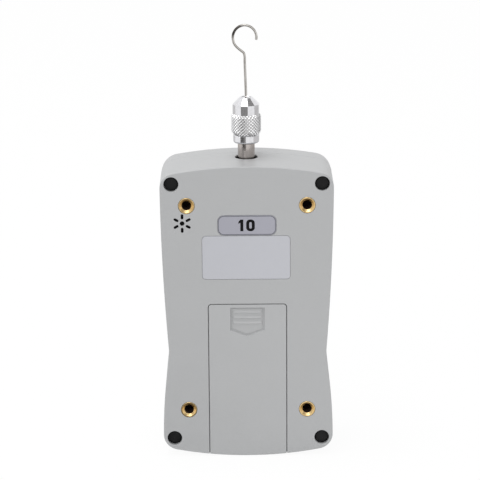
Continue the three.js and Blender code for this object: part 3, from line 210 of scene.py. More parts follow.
def plate(name, x, z, width, height, corner, levels, steps=8):
    """Loft of a rounded rectangle along Y; each level is how much it grows, and y."""
    rings = []
    for grow, y in levels:
        shape = rounded_rectangle(width + 2 * grow, height + 2 * grow, max(corner + grow, 0.02), steps)
        rings.append([(x + px, y, z + pz) for px, pz in shape])
    return skin(name, rings)


# The outline runs in arcs that touch each other, with a waist for the hand.
top_radius, bottom_radius = 180.0, 168.0
shoulder_width, shoulder_z, shoulder_radius = 74.9, housing_height - 2.8, 1070.0
hip_width, hip_z, hip_radius = 74.66, 8.8, 235.0
flank_angle = math.radians(6.2)
waist_fillet, top_corner, bottom_corner = 12.0, 6.5, 7.0


def crossing(a, radius_a, b, radius_b):
    """Where two circles cross, further along +X."""
    gap = b - a
    along = (radius_a**2 - radius_b**2 + gap.length_squared) / (2 * gap.length)
    aside = math.sqrt(radius_a**2 - along**2)
    unit = gap.normalized()
    foot = a + unit * along
    normal = Vector((-unit.y, unit.x)) * aside
    return max(foot + normal, foot - normal, key=lambda p: p.x)


def bearing(a, b):
    return math.atan2(b.y - a.y, b.x - a.x)


def outline_arcs(corner):
    """Centre, radius, first and last angle, steps and side of each arc of the right-hand outline."""
    top = Vector((0, housing_height - top_radius))
    shoulder = Vector((shoulder_width / 2 - shoulder_radius, shoulder_z))
    hip = Vector((hip_width / 2 - hip_radius, hip_z))
    bottom = Vector((0, bottom_radius))
    upper = crossing(top, top_radius - corner, shoulder, shoulder_radius - corner)
    lower = crossing(hip, hip_radius - bottom_corner, bottom, bottom_radius - bottom_corner)
    outward = Vector((math.cos(flank_angle), math.sin(flank_angle)))
    upward = Vector((-outward.y, outward.x))
    start = hip + outward * (hip_radius + waist_fillet) - shoulder
    half = start.dot(upward)
    reach = shoulder_radius + waist_fillet
    waist = start - upward * (half + math.sqrt(half**2 - start.length_squared + reach**2)) + shoulder
    to_waist = bearing(shoulder, waist)
    return [
        (top, top_radius, math.pi / 2, bearing(top, upper), 12, 1),
        (upper, corner, bearing(top, upper), bearing(shoulder, upper), 14, 1),
        (shoulder, shoulder_radius, bearing(shoulder, upper), to_waist, 12, 1),
        (waist, waist_fillet, to_waist + math.pi, flank_angle + math.pi, 6, -1),
        (hip, hip_radius, flank_angle, bearing(hip, lower), 10, 1),
        (lower, bottom_corner, bearing(hip, lower), bearing(bottom, lower), 14, 1),
        (bottom, bottom_radius, bearing(bottom, lower), -math.pi / 2, 12, 1),
    ]


def outline(inset, y, corner=top_corner):
    """The closed outline at one level, set in from the outside."""
    right = []
    for centre, radius, first, last, steps, side in outline_arcs(corner):
        for i in range(steps + 1):
            turn = first + (last - first) * i / steps
            point = centre + Vector((math.cos(turn), math.sin(turn))) * (radius - side * inset)
            if not right or (right[-1] - point).length > 0.01:
                right.append(point)
    right[0].x = right[-1].x = 0
    points = [*right, *(Vector((-p.x, p.y)) for p in right[-2:0:-1])]
    return [(p.x, y, p.y) for p in points]


def half_width(z):
    """Half the width of the housing at a height."""
    ring = outline(0, 0)
    found = 0
    for (ax, _, az), (bx, _, bz) in zip(ring, ring[1:] + ring[:1]):
        if (az - z) * (bz - z) <= 0 and az != bz:
            found = max(found, ax + (bx - ax) * (z - az) / (bz - az))
    return found


def rear_body(name):
    """The outside of the rear cover as one solid."""
    rings = [outline(inset, back_y + depth) for inset, depth in quarter(back_edge_radius, 8)]
    rings += [outline(0, parting_y - seam_break), outline(seam_break, parting_y)]
    return skin(name, rings)


# Places of the fasteners, and the levels of the battery bay behind the door
screw_places = [(x, z) for z in (housing_height - 7.2, 8.6) for x in (-32.5, 32.5)]
insert_places = [(x, z) for z in (housing_height - 17.1, 21.7) for x in (-26.0, 26.0)]
recess_radius, boss_wall, screw_bore = 3.22, 1.3, 1.6
recess_drop_upper, recess_drop_lower = 0.34, 0.16
recess_places = [(x, z - (recess_drop_upper if z > housing_height / 2 else recess_drop_lower))
                 for x, z in screw_places]
screw_reach, screw_bite = 9.0, 6.0
screw_seat_y = parting_y - screw_reach
insert_radius, insert_length, insert_wall, insert_floor = 3.5, 9.0, 1.4, 1.3
bracket_boss_radius, bracket_pilot_depth, door_edge, fine_lip = 3.4, 5, 0.25, 0.12
door_width, door_top_z, door_corner, door_thickness, door_gap = 33.8, 70.1, 1.2, 1.8, 0.3
tongue_reach, tongue_thickness, tongue_gap = 1.4, 1.1, 0.25
catch_half, catch_reach = 6.0, 1.6
rail_wall, rail_reach = 1.2, 2.4
door_inner_y = back_y + door_thickness
tongue_y = door_inner_y + tongue_thickness
tongue_half = door_width / 2 + tongue_reach
rail_inner_y = tongue_y + tongue_gap + rail_wall
tray_low, tray_high = extent("battery_tray")
tray_wall = 1.2
bracket_low = extent("load_cell_bracket")[0]
bracket_places = centres("bracket_screw_", ["inner", "outer"])
capacity_label = (0.0, housing_height - 25.9, 25.2, 8.8, 2.6)
blank_label = (-0.4, housing_height - 40.4, 38.0, 19.4, 1.6)
label_pocket, label_margin = 0.35, 0.15
shaft_hole_radius = 4.9
sound_place = Vector((-27.9, 0, housing_height - 24.9))
sound_hole_radius, sound_slot_width, sound_slot_inner, sound_slot_outer = 1.0, 1.15, 1.85, 4.15
sound_slot_count, felt_radius, felt_set = 6, 4.9, 0.3


def rear_interior():
    """Bosses, rails and header, clipped by the outside of the cover."""
    seat = inner_back_y - overrun
    parts = [rod("boss", recess_radius + boss_wall, x, z, seat, parting_y) for x, z in screw_places]
    parts += [
        rod("boss", insert_radius + insert_wall, x, z, seat, back_y + insert_length + insert_floor)
        for x, z in insert_places
    ]
    parts += [rod("boss", bracket_boss_radius, x, z, seat, bracket_low.y) for x, z in bracket_places]
    outer = tongue_half + tongue_gap + rail_wall
    for side in (-1, 1):
        left, right = sorted((side * (tongue_half - rail_reach), side * outer))
        parts.append(block("rail", left, right, seat, rail_inner_y, 0, door_top_z))
    header_top = door_top_z + catch_reach + tongue_gap + rail_wall
    header = block("header", -outer, outer, seat, rail_inner_y, door_top_z - 0.01, header_top)
    return carve(carve(header, parts, "UNION"), [rear_body("clip")], "INTERSECT")


class Wire:
    """Output of a node; arithmetic on it adds Math nodes to its tree."""

    def __init__(self, node, which=0):
        self.node, self.which = node, which

    def __getitem__(self, which):
        return Wire(self.node, which)

    def join(self, node, name):
        node.id_data.links.new(self.node.outputs[self.which], node.inputs[name])

    def math(self, operation, *values):
        return put(self.node.id_data, "ShaderNodeMath", dict(enumerate((self, *values))), operation=operation)

    def __add__(self, value):
        return self.math("ADD", value)

    def __sub__(self, value):
        return self.math("SUBTRACT", value)

    def __mul__(self, value):
        return self.math("MULTIPLY", value)

    def __truediv__(self, value):
        return self.math("DIVIDE", value)

    def __rsub__(self, value):
        return put(self.node.id_data, "ShaderNodeMath", {0: value, 1: self}, operation="SUBTRACT")

    def __rtruediv__(self, value):
        return put(self.node.id_data, "ShaderNodeMath", {0: value, 1: self}, operation="DIVIDE")


def put(tree, kind, inputs=None, **settings):
    """Adds a node; each input takes a value, or is joined to the wire that is given for it."""
    node = tree.nodes.new(kind)
    for name, value in settings.items():
        setattr(node, name, value)
    for name, value in (inputs or {}).items():
        if isinstance(value, Wire):
            value.join(node, name)
        else:
            node.inputs[name].default_value = value
    return Wire(node)


def new_tree(name, kind, outputs, **inputs):
    """Node group and its inputs, each given as its value, or as a type of socket that has none."""
    tree = bpy.data.node_groups.new(name, kind)
    for label, value in inputs.items():
        if isinstance(value, tuple):
            socket_type = "Vector" if len(value) == 3 else "Color"
        else:
            socket_type = {float: "Float", int: "Int"}.get(type(value), value)
        socket = tree.interface.new_socket(label.replace("_", " "), in_out="INPUT",
                                           socket_type="NodeSocket" + socket_type)
        if socket_type != value:
            socket.default_value = value
    for label in outputs:
        socket_type = {"Colour": "Color", "Normal": "Vector", "Geometry": "Geometry"}.get(label, "Float")
        tree.interface.new_socket(label, in_out="OUTPUT", socket_type="NodeSocket" + socket_type)
    return tree, put(tree, "NodeGroupInput")


def paint(given, last):
    """Ends a Geometry Nodes tree in Realize Instances and Set Material."""
    tree = last.node.id_data
    real = put(tree, "GeometryNodeRealizeInstances", {0: last})
    painted = put(tree, "GeometryNodeSetMaterial", {0: real, "Material": given["Material"]})
    put(tree, "NodeGroupOutput", {"Geometry": painted})


def shape_by(tree, piece, **values):
    """Runs a Geometry Nodes tree on a piece with named inputs, and leaves a plain mesh."""
    step = piece.modifiers.new(tree.name, "NODES")
    step.node_group = tree
    for socket in tree.interface.items_tree:
        label = socket.name.replace(" ", "_")
        if label in values:
            step[socket.identifier] = values[label]
    return settle(piece)


# Copies of one shape at the points of a mesh, each turned a step further than the last
copies, given = new_tree("copies_at_points", "GeometryNodeTree", ["Geometry"], Points="Geometry",
                         Shape="Object", Turn_per_copy=(0.0, 0.0, 0.0), Material="Material")
shape = put(copies, "GeometryNodeObjectInfo", {"Object": given["Shape"]}, transform_space="ORIGINAL")
turn = put(copies, "ShaderNodeVectorMath", {
    0: given["Turn per copy"], "Scale": put(copies, "GeometryNodeInputIndex"),
}, operation="SCALE")
paint(given, put(copies, "GeometryNodeInstanceOnPoints", {
    "Points": put(copies, "GeometryNodeMeshToPoints", {"Mesh": given["Points"]}),
    "Instance": shape["Geometry"], "Rotation": turn,
}))


def repeat(name, shape, places, material, turn=(0.0, 0.0, 0.0)):
    """Copies of a shape at places in millimetres; the shape itself is used up."""
    made = as_object(name, places, [])
    shape_by(copies, made, Shape=shape, Turn_per_copy=turn, Material=material)
    bpy.data.objects.remove(shape)
    return made


def place_on_piece(tree):
    """Where a point lies on its piece, in metres from the frame's origin."""
    return put(tree, "ShaderNodeTexCoord")["Object"]


def axes_of(vector):
    return put(vector.node.id_data, "ShaderNodeSeparateXYZ", {0: vector})


def mapped(place, scale=(1.0, 1.0, 1.0), turn=(0.0, 0.0, 0.0)):
    """Place turned and stretched, for a texture that has a direction."""
    return put(place.node.id_data, "ShaderNodeMapping", {"Vector": place, "Rotation": turn, "Scale": scale})


def noise(place, scale, detail, roughness=0.5, distortion=0.0):
    return put(place.node.id_data, "ShaderNodeTexNoise", {
        "Vector": place, "Scale": scale, "Detail": detail, "Roughness": roughness, "Distortion": distortion,
    })


def fade(value, low, high, first=0.0, last=1.0):
    """Goes from the first to the last number while a value goes from low to high."""
    return put(value.node.id_data, "ShaderNodeMapRange", {
        "Value": value, "From Min": low, "From Max": high, "To Min": first, "To Max": last,
    })


def scaled(vector, factor):
    """Vector times a number."""
    return put(vector.node.id_data, "ShaderNodeVectorMath", {0: vector, "Scale": factor}, operation="SCALE")


def blend(share, first, second):
    """Mix of two colours."""
    return put(share.node.id_data, "ShaderNodeMix", {
        "Factor": share, 6: first, 7: second,
    }, data_type="RGBA")[2]


def end_finish(colour, roughness, height, strength, distance):
    """Ends a finish in its three outputs, with its relief as the normal."""
    tree = height.node.id_data
    relief = put(tree, "ShaderNodeBump", {"Strength": strength, "Distance": distance, "Height": height})
    put(tree, "NodeGroupOutput", {"Colour": colour, "Roughness": roughness, "Normal": relief})


# Moulded plastic: a fine spark-eroded grain, a faint mottle in tone and gloss, and a broad uneven sheen
finish_outputs = ["Colour", "Roughness", "Normal"]
mid_grey = (0.5, 0.5, 0.5, 1.0)
moulded_grain, given = new_tree("moulded_grain", "ShaderNodeTree", finish_outputs, Colour=mid_grey,
                                Roughness=0.45, Grain_mm=0.35, Depth_mm=0.012, Mottle=0.05)
place = place_on_piece(moulded_grain)
grain = noise(place, 1000.0 / given["Grain mm"], 2.0, 0.55)
cloud, speck = noise(place, 55.0, 3.0, 0.6), noise(place, 900.0, 1.0)
drift = (cloud - 0.5) + (speck - 0.5) * 0.6
end_finish(scaled(given["Colour"], drift * given["Mottle"] + 1.0), drift * 0.18 + given["Roughness"],
           grain, 0.7, given["Depth mm"] * MM)


def rgb(red, green, blue):
    """Colour as a screen shows it, from 0 to 255, as the linear colour that a shader takes."""
    levels = [v / 255 for v in (red, green, blue)]
    return (*(v / 12.92 if v <= 0.04045 else ((v + 0.055) / 1.055) ** 2.4 for v in levels), 1.0)


def surface(name, group, colour, roughness, **values):
    """Principled material fed by a node group; a value is for the group, or else for the shader."""
    material = bpy.data.materials.new(name)
    material.use_nodes = True
    main = material.node_tree.nodes["Principled BSDF"]
    fed_by = put(material.node_tree, "ShaderNodeGroup", node_tree=group)
    fed_by.node.name = "finish"
    for label, value in (values | {"Colour": colour, "Roughness": roughness}).items():
        label = label.replace("_", " ")
        (fed_by.node if label in fed_by.node.inputs else main).inputs[label].default_value = value
    for output, label in zip(finish_outputs, ("Base Color", "Roughness", "Normal")):
        fed_by[output].join(main, label)
    return material


housing_plastic = surface("grey_plastic", moulded_grain, rgb(176, 177, 178), 0.4, Grain_mm=0.4,
                          Depth_mm=0.012, Mottle=0.045, Specular_IOR_Level=0.5)


def finish(piece, material, nodes=(), body="housing", angle=32):
    """Shades a piece, gives it its material and body, and hides the CAD nodes it stands for."""
    smooth(piece, angle)
    piece.data.materials.clear()
    piece.data.materials.append(material)
    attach(piece, body)
    if nodes:
        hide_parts(*nodes)


usb_low, usb_high = extent("usb_socket")
jack_low, jack_high = extent("power_jack")
socket_gap, way_depth = 0.4, 4.3


def side_way(name, z, length, y0, y1, corner, lip=0.3):
    """Cutter through the left side wall for a socket, with a rounded mouth."""
    face_x = -half_width(z)
    levels = [(lip, face_x - overrun), *((grow, face_x + down) for grow, down in quarter(lip))]
    levels.append((0, face_x + way_depth))
    rings = []
    for grow, x in levels:
        ring = rounded_rectangle(y1 - y0 + 2 * grow, length + 2 * grow, corner + grow)
        rings.append([(x, (y0 + y1) / 2 + py, z + pz) for py, pz in ring])
    return skin(name, rings)


def socket_ways():
    """Cutters for the two openings in the left side."""
    return [
        side_way("way", (low.z + high.z) / 2, high.z - low.z + 2 * socket_gap, low.y - socket_gap,
                 high.y + socket_gap, corner)
        for low, high, corner in ((usb_low, usb_high, 2.0), (jack_low, jack_high, 0.8))
    ]


def rear_openings():
    """Everything that is cut out of the rear cover."""
    half, sill = tongue_half + tongue_gap, door_inner_y - tongue_gap
    back = tongue_y + tongue_gap
    levels = [(door_edge, back_y - overrun), *((grow, back_y + down) for grow, down in quarter(door_edge, 4))]
    tools = [
        plate("doorway", 0, 0, door_width + 2 * door_gap, 2 * (door_top_z + door_gap),
              door_corner + door_gap, [*levels, (0, door_inner_y + tongue_gap)]),
        block("tongueway", -half, half, sill, back, -overrun, door_top_z + door_gap),
        block("catchway", -catch_half - tongue_gap, catch_half + tongue_gap, sill, back,
              door_top_z, door_top_z + catch_reach + tongue_gap),
        block("way_in", rail_reach - tongue_half, tongue_half - rail_reach, door_inner_y,
              tray_high.y - tray_wall, tray_low.z + tray_wall, door_top_z - rail_reach),
    ]
    for x, z in recess_places:
        tools.append(well("recess", recess_radius, x, z, screw_seat_y - back_y, 0.2))
        tools.append(rod("bore", screw_bore, x, z, screw_seat_y - overrun, parting_y + overrun))
    for x, z in insert_places:
        tools.append(well("insert_hole", insert_radius + fit, x, z, insert_length + fit, fine_lip))
    for x, z in bracket_places:
        tools.append(rod("bore", screw_bore, x, z, bracket_low.y - bracket_pilot_depth,
                         bracket_low.y + overrun))
    for x, z, width, height, corner in (capacity_label, blank_label):
        tools.append(plate(
            "pocket", x, z, width + 2 * label_margin, height + 2 * label_margin, corner + label_margin,
            [(fine_lip, back_y - overrun), (fine_lip, back_y), (0.03, back_y + 0.06), (0, back_y + 0.15),
             (0, back_y + label_pocket)],
        ))
    rim = [(shaft_hole_radius + grow, housing_height - 0.05 - down) for grow, down in quarter(0.4)]
    tools.append(turned("shaft_hole", [
        (0, housing_height + overrun), (rim[0][0], housing_height + overrun), *rim,
        (shaft_hole_radius, housing_height - 2 * wall), (0, housing_height - 2 * wall),
    ], 96))
    tools.append(well("sound_hole", sound_hole_radius, sound_place.x, sound_place.z, 4, fine_lip, 32))
    tools.append(rod("felt_pocket", felt_radius, sound_place.x, sound_place.z, back_y + felt_set,
                     inner_back_y + overrun))
    slot_middle = (sound_slot_inner + sound_slot_outer) / 2
    slot = plate("slot", 0, slot_middle, sound_slot_width, sound_slot_outer - sound_slot_inner,
                 sound_slot_width / 2 - 0.01,
                 [(0.1, -overrun), *((grow, down) for grow, down in quarter(0.1, 3)), (0, 4)], 5)
    place = (sound_place.x, back_y, sound_place.z)
    tools.append(repeat("sound_slots", slot, [place] * sound_slot_count, housing_plastic,
                        (0, math.radians(360 / sound_slot_count), 0)))
    return tools + socket_ways()


rear_cover = carve(
    rear_body("rear_cover_moulding"),
    [skin("cavity", [outline(wall, inner_back_y), outline(wall, parting_y + overrun)])],
)
carve(rear_cover, [rear_interior()], "UNION")
carve(rear_cover, rear_openings())
finish(rear_cover, housing_plastic, ["rear_cover"])

# Front cover: the shallow half, moulded in the same plastic. A lip inside its rim locates the rear
# cover; it carries the window ledge, the key openings and the posts for the main board's screws.
front_y = extent("front_cover")[1].y
inner_front_y = front_y - back_wall
front_edge_radius, front_corner = 2.0, 8.2
lip_height, lip_wall, lip_clearance = 1.4, 1.1, 0.2
board_low, board_high = extent("main_board")
board_corners = [side + "_" + hand for side in ("top", "bottom") for hand in ("left", "right")]
board_places = centres("board_screw_", board_corners)
window_low, window_high = extent("display_window")
window_z = (window_low.z + window_high.z) / 2
window_width, window_height = window_high.x - window_low.x, window_high.z - window_low.z
window_corner, window_ledge = 3.0, 2.6
key_names = ["power", "zero", "peak", "unit", "memory", "send"]
key_places = {name: (middle("key_" + name).x, middle("key_" + name).z) for name in key_names}
key_width, key_height, key_corner, key_gap = 13.5, 8.6, 3.2, 0.25
mouth_radius, pilot_depth = 0.3, 6.1
board_post_radius, board_pilot_radius, board_pilot_depth = 2.6, 1.2, 4.6


def front_body(name):
    """The outside of the front cover as one solid; its upper corners get rounder towards the display."""
    rings = [outline(seam_break, parting_y), outline(0, parting_y + seam_break)]
    rings += [outline(inset, front_y - down, front_corner)
              for inset, down in reversed(quarter(front_edge_radius, 8))]
    return skin(name, rings)


def front_posts():
    """Posts for the screws, clipped by the outside of the cover."""
    parts = [rod("post", recess_radius + boss_wall, x, z, parting_y, inner_front_y + overrun)
             for x, z in screw_places]
    parts += [rod("post", board_post_radius, x, z, board_high.y, inner_front_y + overrun)
              for x, z in board_places]
    return carve(carve(parts[0], parts[1:], "UNION"), [front_body("clip")], "INTERSECT")


def front_openings():
    """Window, key holes and pilot holes."""
    mouth = [(grow, front_y - down) for grow, down in reversed(quarter(mouth_radius, 4))]
    tools = [
        plate("opening", 0, window_z, window_width - 2 * window_ledge, window_height - 2 * window_ledge,
              window_corner / 2, [(0, parting_y), (0, front_y + overrun)]),
        plate("pocket", 0, window_z, window_width + 2 * fit, window_height + 2 * fit, window_corner + fit,
              [(0, window_low.y - fit), *((grow / 2, y) for grow, y in mouth),
               (mouth_radius / 2, front_y + overrun)]),
    ]
    for x, z in key_places.values():
        tools.append(plate(
            "key_hole", x, z, key_width + 2 * key_gap, key_height + 2 * key_gap, key_corner + key_gap,
            [(0, inner_front_y - overrun), *mouth, (mouth_radius, front_y + overrun)],
        ))
    tools += [rod("pilot", screw_bore, x, z, parting_y - overrun, parting_y + pilot_depth)
              for x, z in screw_places]
    tools += [rod("pilot", board_pilot_radius, x, z, board_high.y - overrun, board_high.y + board_pilot_depth)
              for x, z in board_places]
    return tools + socket_ways()


lip_inset = wall + lip_clearance
front_lip = skin("lip", [outline(lip_inset, parting_y - lip_height), outline(lip_inset, parting_y + overrun)])
carve(front_lip, [
    rod("boss_way", recess_radius + boss_wall + lip_clearance, x, z, parting_y - 2 * lip_height, parting_y)
    for x, z in screw_places
])
front_cover = carve(front_body("front_cover_moulding"), [front_lip], "UNION")
carve(front_cover, [skin("cavity", [
    outline(wall + lip_wall, parting_y - 2 * lip_height), outline(wall + lip_wall, inner_front_y),
])])
carve(front_cover, [front_posts()], "UNION")
carve(front_cover, front_openings())
finish(front_cover, housing_plastic, ["front_cover"])

# Battery door: a plate flush with the back, moulded in the housing's plastic. Two tongues run in the
# rails beside the bay, a springy catch holds it at the top, and a hollow with three ridges is its grip.
grip_top, grip_half, grip_height, grip_point = door_top_z - 1.4, 7.05, 10.05, 2.75
groove_depth, groove_width, grip_depth, grip_slope, grip_corner_share = 0.9, 0.55, 0.7, 0.5, 0.7
ridge_count, ridge_pitch, ridge_inset = 3, 2.5, 1.1


def grip(grow, y):
    """Five-sided shape of the grip, whose side and lower edges slope outwards to the face."""
    upper, lower = grip_top + min(grow, 0), grip_top - grip_height - grow * grip_corner_share
    return [
        (-grip_half - grow, y, upper), (grip_half + grow, y, upper), (grip_half + grow, y, lower),
        (0, y, grip_top - grip_height - grip_point - grow), (-grip_half - grow, y, lower),
    ]


door_levels = [(-inset, back_y + down) for inset, down in quarter(door_edge, 4)]
battery_door = plate("battery_door_moulding", 0, 0, door_width, 2 * door_top_z, door_corner,
                     [*door_levels, (0, door_inner_y)])
catch_tab = block("catch_tab", -catch_half, catch_half, door_inner_y, tongue_y,
                  door_top_z - 2 * catch_reach, door_top_z + catch_reach)
tongues = []
for side in (-1, 1):
    left, right = sorted((side * (door_width / 2 - tongue_reach), side * tongue_half))
    tongues.append(block("tongue", left, right, door_inner_y - 0.01, tongue_y, 0, door_top_z - tongue_reach))
carve(battery_door, [*tongues, catch_tab], "UNION")
carve(battery_door, [rear_body("clip")], "INTERSECT")
grip_floor_y = back_y + grip_depth
carve(battery_door, [skin("grip_hollow", [
    grip(grip_slope, back_y - overrun), grip(grip_slope, back_y), grip(0, back_y + groove_depth),
])])
carve(battery_door, [skin("grip_island", [
    grip(-groove_width - 0.08, grip_floor_y), grip(-groove_width, grip_floor_y + 0.08),
    grip(-groove_width, back_y + groove_depth + 0.1),
])], "UNION")
# Each ridge is a sawtooth: a long slope that faces up, a round crest and a steep underside.
tooth = [(0.1, 0.66), (0.0, 0.6), (-0.6, -0.4), (-0.66, -0.52), (-0.62, -0.66), (-0.42, -0.8), (0.0, -0.92),
         (0.1, -0.96)]
half = grip_half - groove_width - 0.35
ridge = skin("ridge", [
    [(x, y * share, z) for y, z in tooth]
    for x, share in ((-half, 0.55), (-half + 0.2, 0.95), (-half + 0.4, 1),
                     (half - 0.4, 1), (half - 0.2, 0.95), (half, 0.55))
])
ridge_places = [(0, grip_floor_y, grip_top - groove_width - ridge_inset - i * ridge_pitch)
                for i in range(ridge_count)]
carve(battery_door, [repeat("ridges", ridge, ridge_places, housing_plastic)], "UNION")
door_plastic = surface("door_plastic", moulded_grain, rgb(177, 178, 179), 0.42, Grain_mm=0.4,
                       Depth_mm=0.012, Mottle=0.05)
finish(battery_door, door_plastic, ["battery_door"], "door")

# Housing screws: four self-tapping pan-head screws of blackened steel with a cross recess, deep in the
# rear cover. They pass its bosses and bite into the front cover's posts, which closes the housing.
screw_head, screw_radius, self_tapping_pitch = 2.75, 1.5, 0.9
four_corners = ["top_left", "top_right", "bottom_left", "bottom_right"]

# A threaded bar: a cylinder about Z whose skin follows a helix, for screws, studs and tapped holes
threaded_bar, given = new_tree(
    "threaded_bar", "GeometryNodeTree", ["Geometry"], Points="Geometry", Radius=0.002, Depth=0.0003,
    Pitch=0.0008, Length=0.008, Base=0.0, Around=40, Steps=80, Material="Material",
)


def turn_about_z(at):
    """Share of a whole turn about Z at which a point lies."""
    return at["Y"].math("ARCTAN2", at["X"]) / (2 * math.pi)


def wrapped(given, radius_at):
    """Cylinder about Z from Base to Base + Length, whose radius is worked out from turn and height."""
    tree = given.node.id_data
    half = given["Length"] * 0.5
    bar = put(tree, "GeometryNodeMeshCylinder", {
        "Vertices": given["Around"], "Side Segments": given["Steps"], "Radius": 1.0, "Depth": given["Length"],
    }, fill_type="NGON")
    at = axes_of(put(tree, "GeometryNodeInputPosition"))
    radius = radius_at(turn_about_z(at), at["Z"] + half)
    moved = put(tree, "ShaderNodeCombineXYZ", {
        "X": at["X"] * radius, "Y": at["Y"] * radius, "Z": at["Z"] + (half + given["Base"]),
    })
    paint(given, put(tree, "GeometryNodeSetPosition", {0: bar["Mesh"], "Position": moved}))


def ramp(phase):
    """Triangle wave of a phase: 1 at whole numbers, 0 half-way between them."""
    return (phase.math("FRACT") * 2.0 - 1.0).math("ABSOLUTE")


def helix_radius(turn, height):
    crest = ramp(height / given["Pitch"] - turn) * 1.35
    return given["Radius"] - (1.0 - crest.math("MINIMUM", 1.0)) * given["Depth"]


wrapped(given, helix_radius)


def thread(name, radius, depth, pitch, low, high, material):
    """Threaded bar about Z between two heights in millimetres."""
    return shape_by(
        threaded_bar, as_object(name, [(0, 0, 0)], []), Radius=radius * MM, Depth=depth * MM,
        Pitch=pitch * MM, Length=(high - low) * MM, Base=low * MM, Around=36,
        Steps=max(8, round((high - low) / pitch * 6)), Material=material,
    )


# Blackened steel: near-black oxide that has rubbed thin in places
black_oxide = surface("black_oxide", moulded_grain, rgb(44, 45, 48), 0.36, Grain_mm=0.5, Depth_mm=0.01,
                      Mottle=0.5, Metallic=0.85)


def pan_screw(name, head, height, radius, length, pitch, material):
    """Pan-head screw along Z with its head above z = 0: rounded crown, cross recess and thread."""
    crown = [(head * math.sin(t), height * (0.45 + 0.55 * math.cos(t)))
             for t in (math.radians(15 * i) for i in range(1, 7))]
    body = turned(name, [(0, height), *crown, (head, 0), (radius * 0.8, 0), (radius * 0.8, -length + radius),
                         (radius * 0.25, -length), (0, -length)], 40)
    blades = []
    for turn in (0, 90):
        wide, narrow = (head * 0.6, 0.36), (head * 0.26, 0.2)
        rings = [[(sx * w, sy * h, z) for sx, sy in ((1, 1), (-1, 1), (-1, -1), (1, -1))]
                 for (w, h), z in ((wide, height + 0.2), (wide, height - 0.05), (narrow, height * 0.35))]
        blade = skin("blade", rings)
        blade.data.transform(Matrix.Rotation(math.radians(turn), 4, "Z"))
        blades.append(blade)
    carve(body, [thread("thread", radius, radius * 0.2, pitch, -length + radius, -0.3, material)], "UNION")
    return carve(body, blades)


def screws(name, model, places, y, facing, nodes, material):
    """Copies of a screw set in at places, standing for their CAD nodes."""
    shape = set_in(model, 0, 0, 0, facing)
    made = repeat(name, shape, [(x, y, z) for x, z in places], material)
    finish(made, material, nodes, angle=40)


housing_screw = pan_screw("housing_screw", head=screw_head, height=2.2, radius=screw_radius,
                          length=screw_reach + screw_bite, pitch=self_tapping_pitch, material=black_oxide)
screws("housing_screw_set", housing_screw, screw_places, screw_seat_y, -1,
       ["housing_screw_" + c for c in four_corners], black_oxide)

# Well plugs: four domed caps of black rubber, pushed into the screw wells to just below the back so
# that the screws stay hidden. They are pulled out to open the housing.
rubber_black = surface("rubber_black", moulded_grain, rgb(20, 20, 21), 0.62, Grain_mm=0.3, Depth_mm=0.008,
                       Mottle=0.3, Specular_IOR_Level=0.25)
plug = set_in(turned("plug", [
    (0, -1.0), (1.4, -1.05), (2.4, -1.2), (2.85, -1.35), (recess_radius - 0.06, -1.65),
    (recess_radius - 0.06, -4.6), (recess_radius - 0.4, -5.0), (0, -5.0),
], 48), 0, 0)
plugs = repeat("well_plugs", plug, [(x, back_y, z) for x, z in recess_places], rubber_black)
finish(plugs, rubber_black, angle=40)

# Sound felt: a disc of black felt glued into a pocket behind the sound outlet, which keeps dust from the
# buzzer. It sits just behind the back, so that the slots show solid black: painted shade inside the slots.
felt_black = surface("felt_black", moulded_grain, rgb(14, 14, 15), 0.95, Grain_mm=0.15, Depth_mm=0.05,
                     Mottle=0.6, Specular_IOR_Level=0.1)
# Painted shade: the felt is set close behind the slots to make them solid black.
felt = rod("sound_felt", felt_radius - fit, sound_place.x, sound_place.z, back_y + felt_set + 0.02,
           back_y + felt_set + 0.8)
finish(felt, felt_black)

# Mounting inserts: four turned brass bushes with an M5 thread, pressed into bosses of the rear cover
# until they are flush with the back. A test stand is bolted to them; each mouth has a wide lead-in.
insert_thread_radius, insert_mouth_radius, insert_mouth_depth = 2.1, 3.05, 0.9

# Turned metal: fine tool lines that follow a height, tarnish in soft clouds, and an uneven polish
turned_lines, given = new_tree(
    "turned_lines", "ShaderNodeTree", finish_outputs, Colour=(0.8, 0.8, 0.8, 1.0),
    Tarnish=(0.4, 0.4, 0.4, 1.0), Roughness=0.2, Height=0.0, Line_mm=0.12, Depth_mm=0.004, Wear=0.3,
)
line = put(turned_lines, "ShaderNodeTexNoise", {
    "W": given["Height"] * (1000.0 / given["Line mm"]), "Scale": 1.0, "Detail": 3.0, "Roughness": 0.7,
}, noise_dimensions="1D")
cloud = noise(place_on_piece(turned_lines), 420.0, 4.0, 0.65)
tarnish_and_dark_reflection = fade(cloud, 0.45, 0.75, 0.0, given["Wear"])
end_finish(blend(tarnish_and_dark_reflection, given["Colour"], given["Tarnish"]),
           tarnish_and_dark_reflection * 0.25 + ((line - 0.5) * 0.12 + given["Roughness"]), line, 0.6, given["Depth mm"] * MM)


def turned_surface(name, along, colour, roughness, **values):
    """Turned metal whose tool lines are stacked along X, Y or Z."""
    material = surface(name, turned_lines, colour, roughness, **values)
    tree = material.node_tree
    axes_of(place_on_piece(tree))[along].join(tree.nodes["finish"], "Height")
    return material


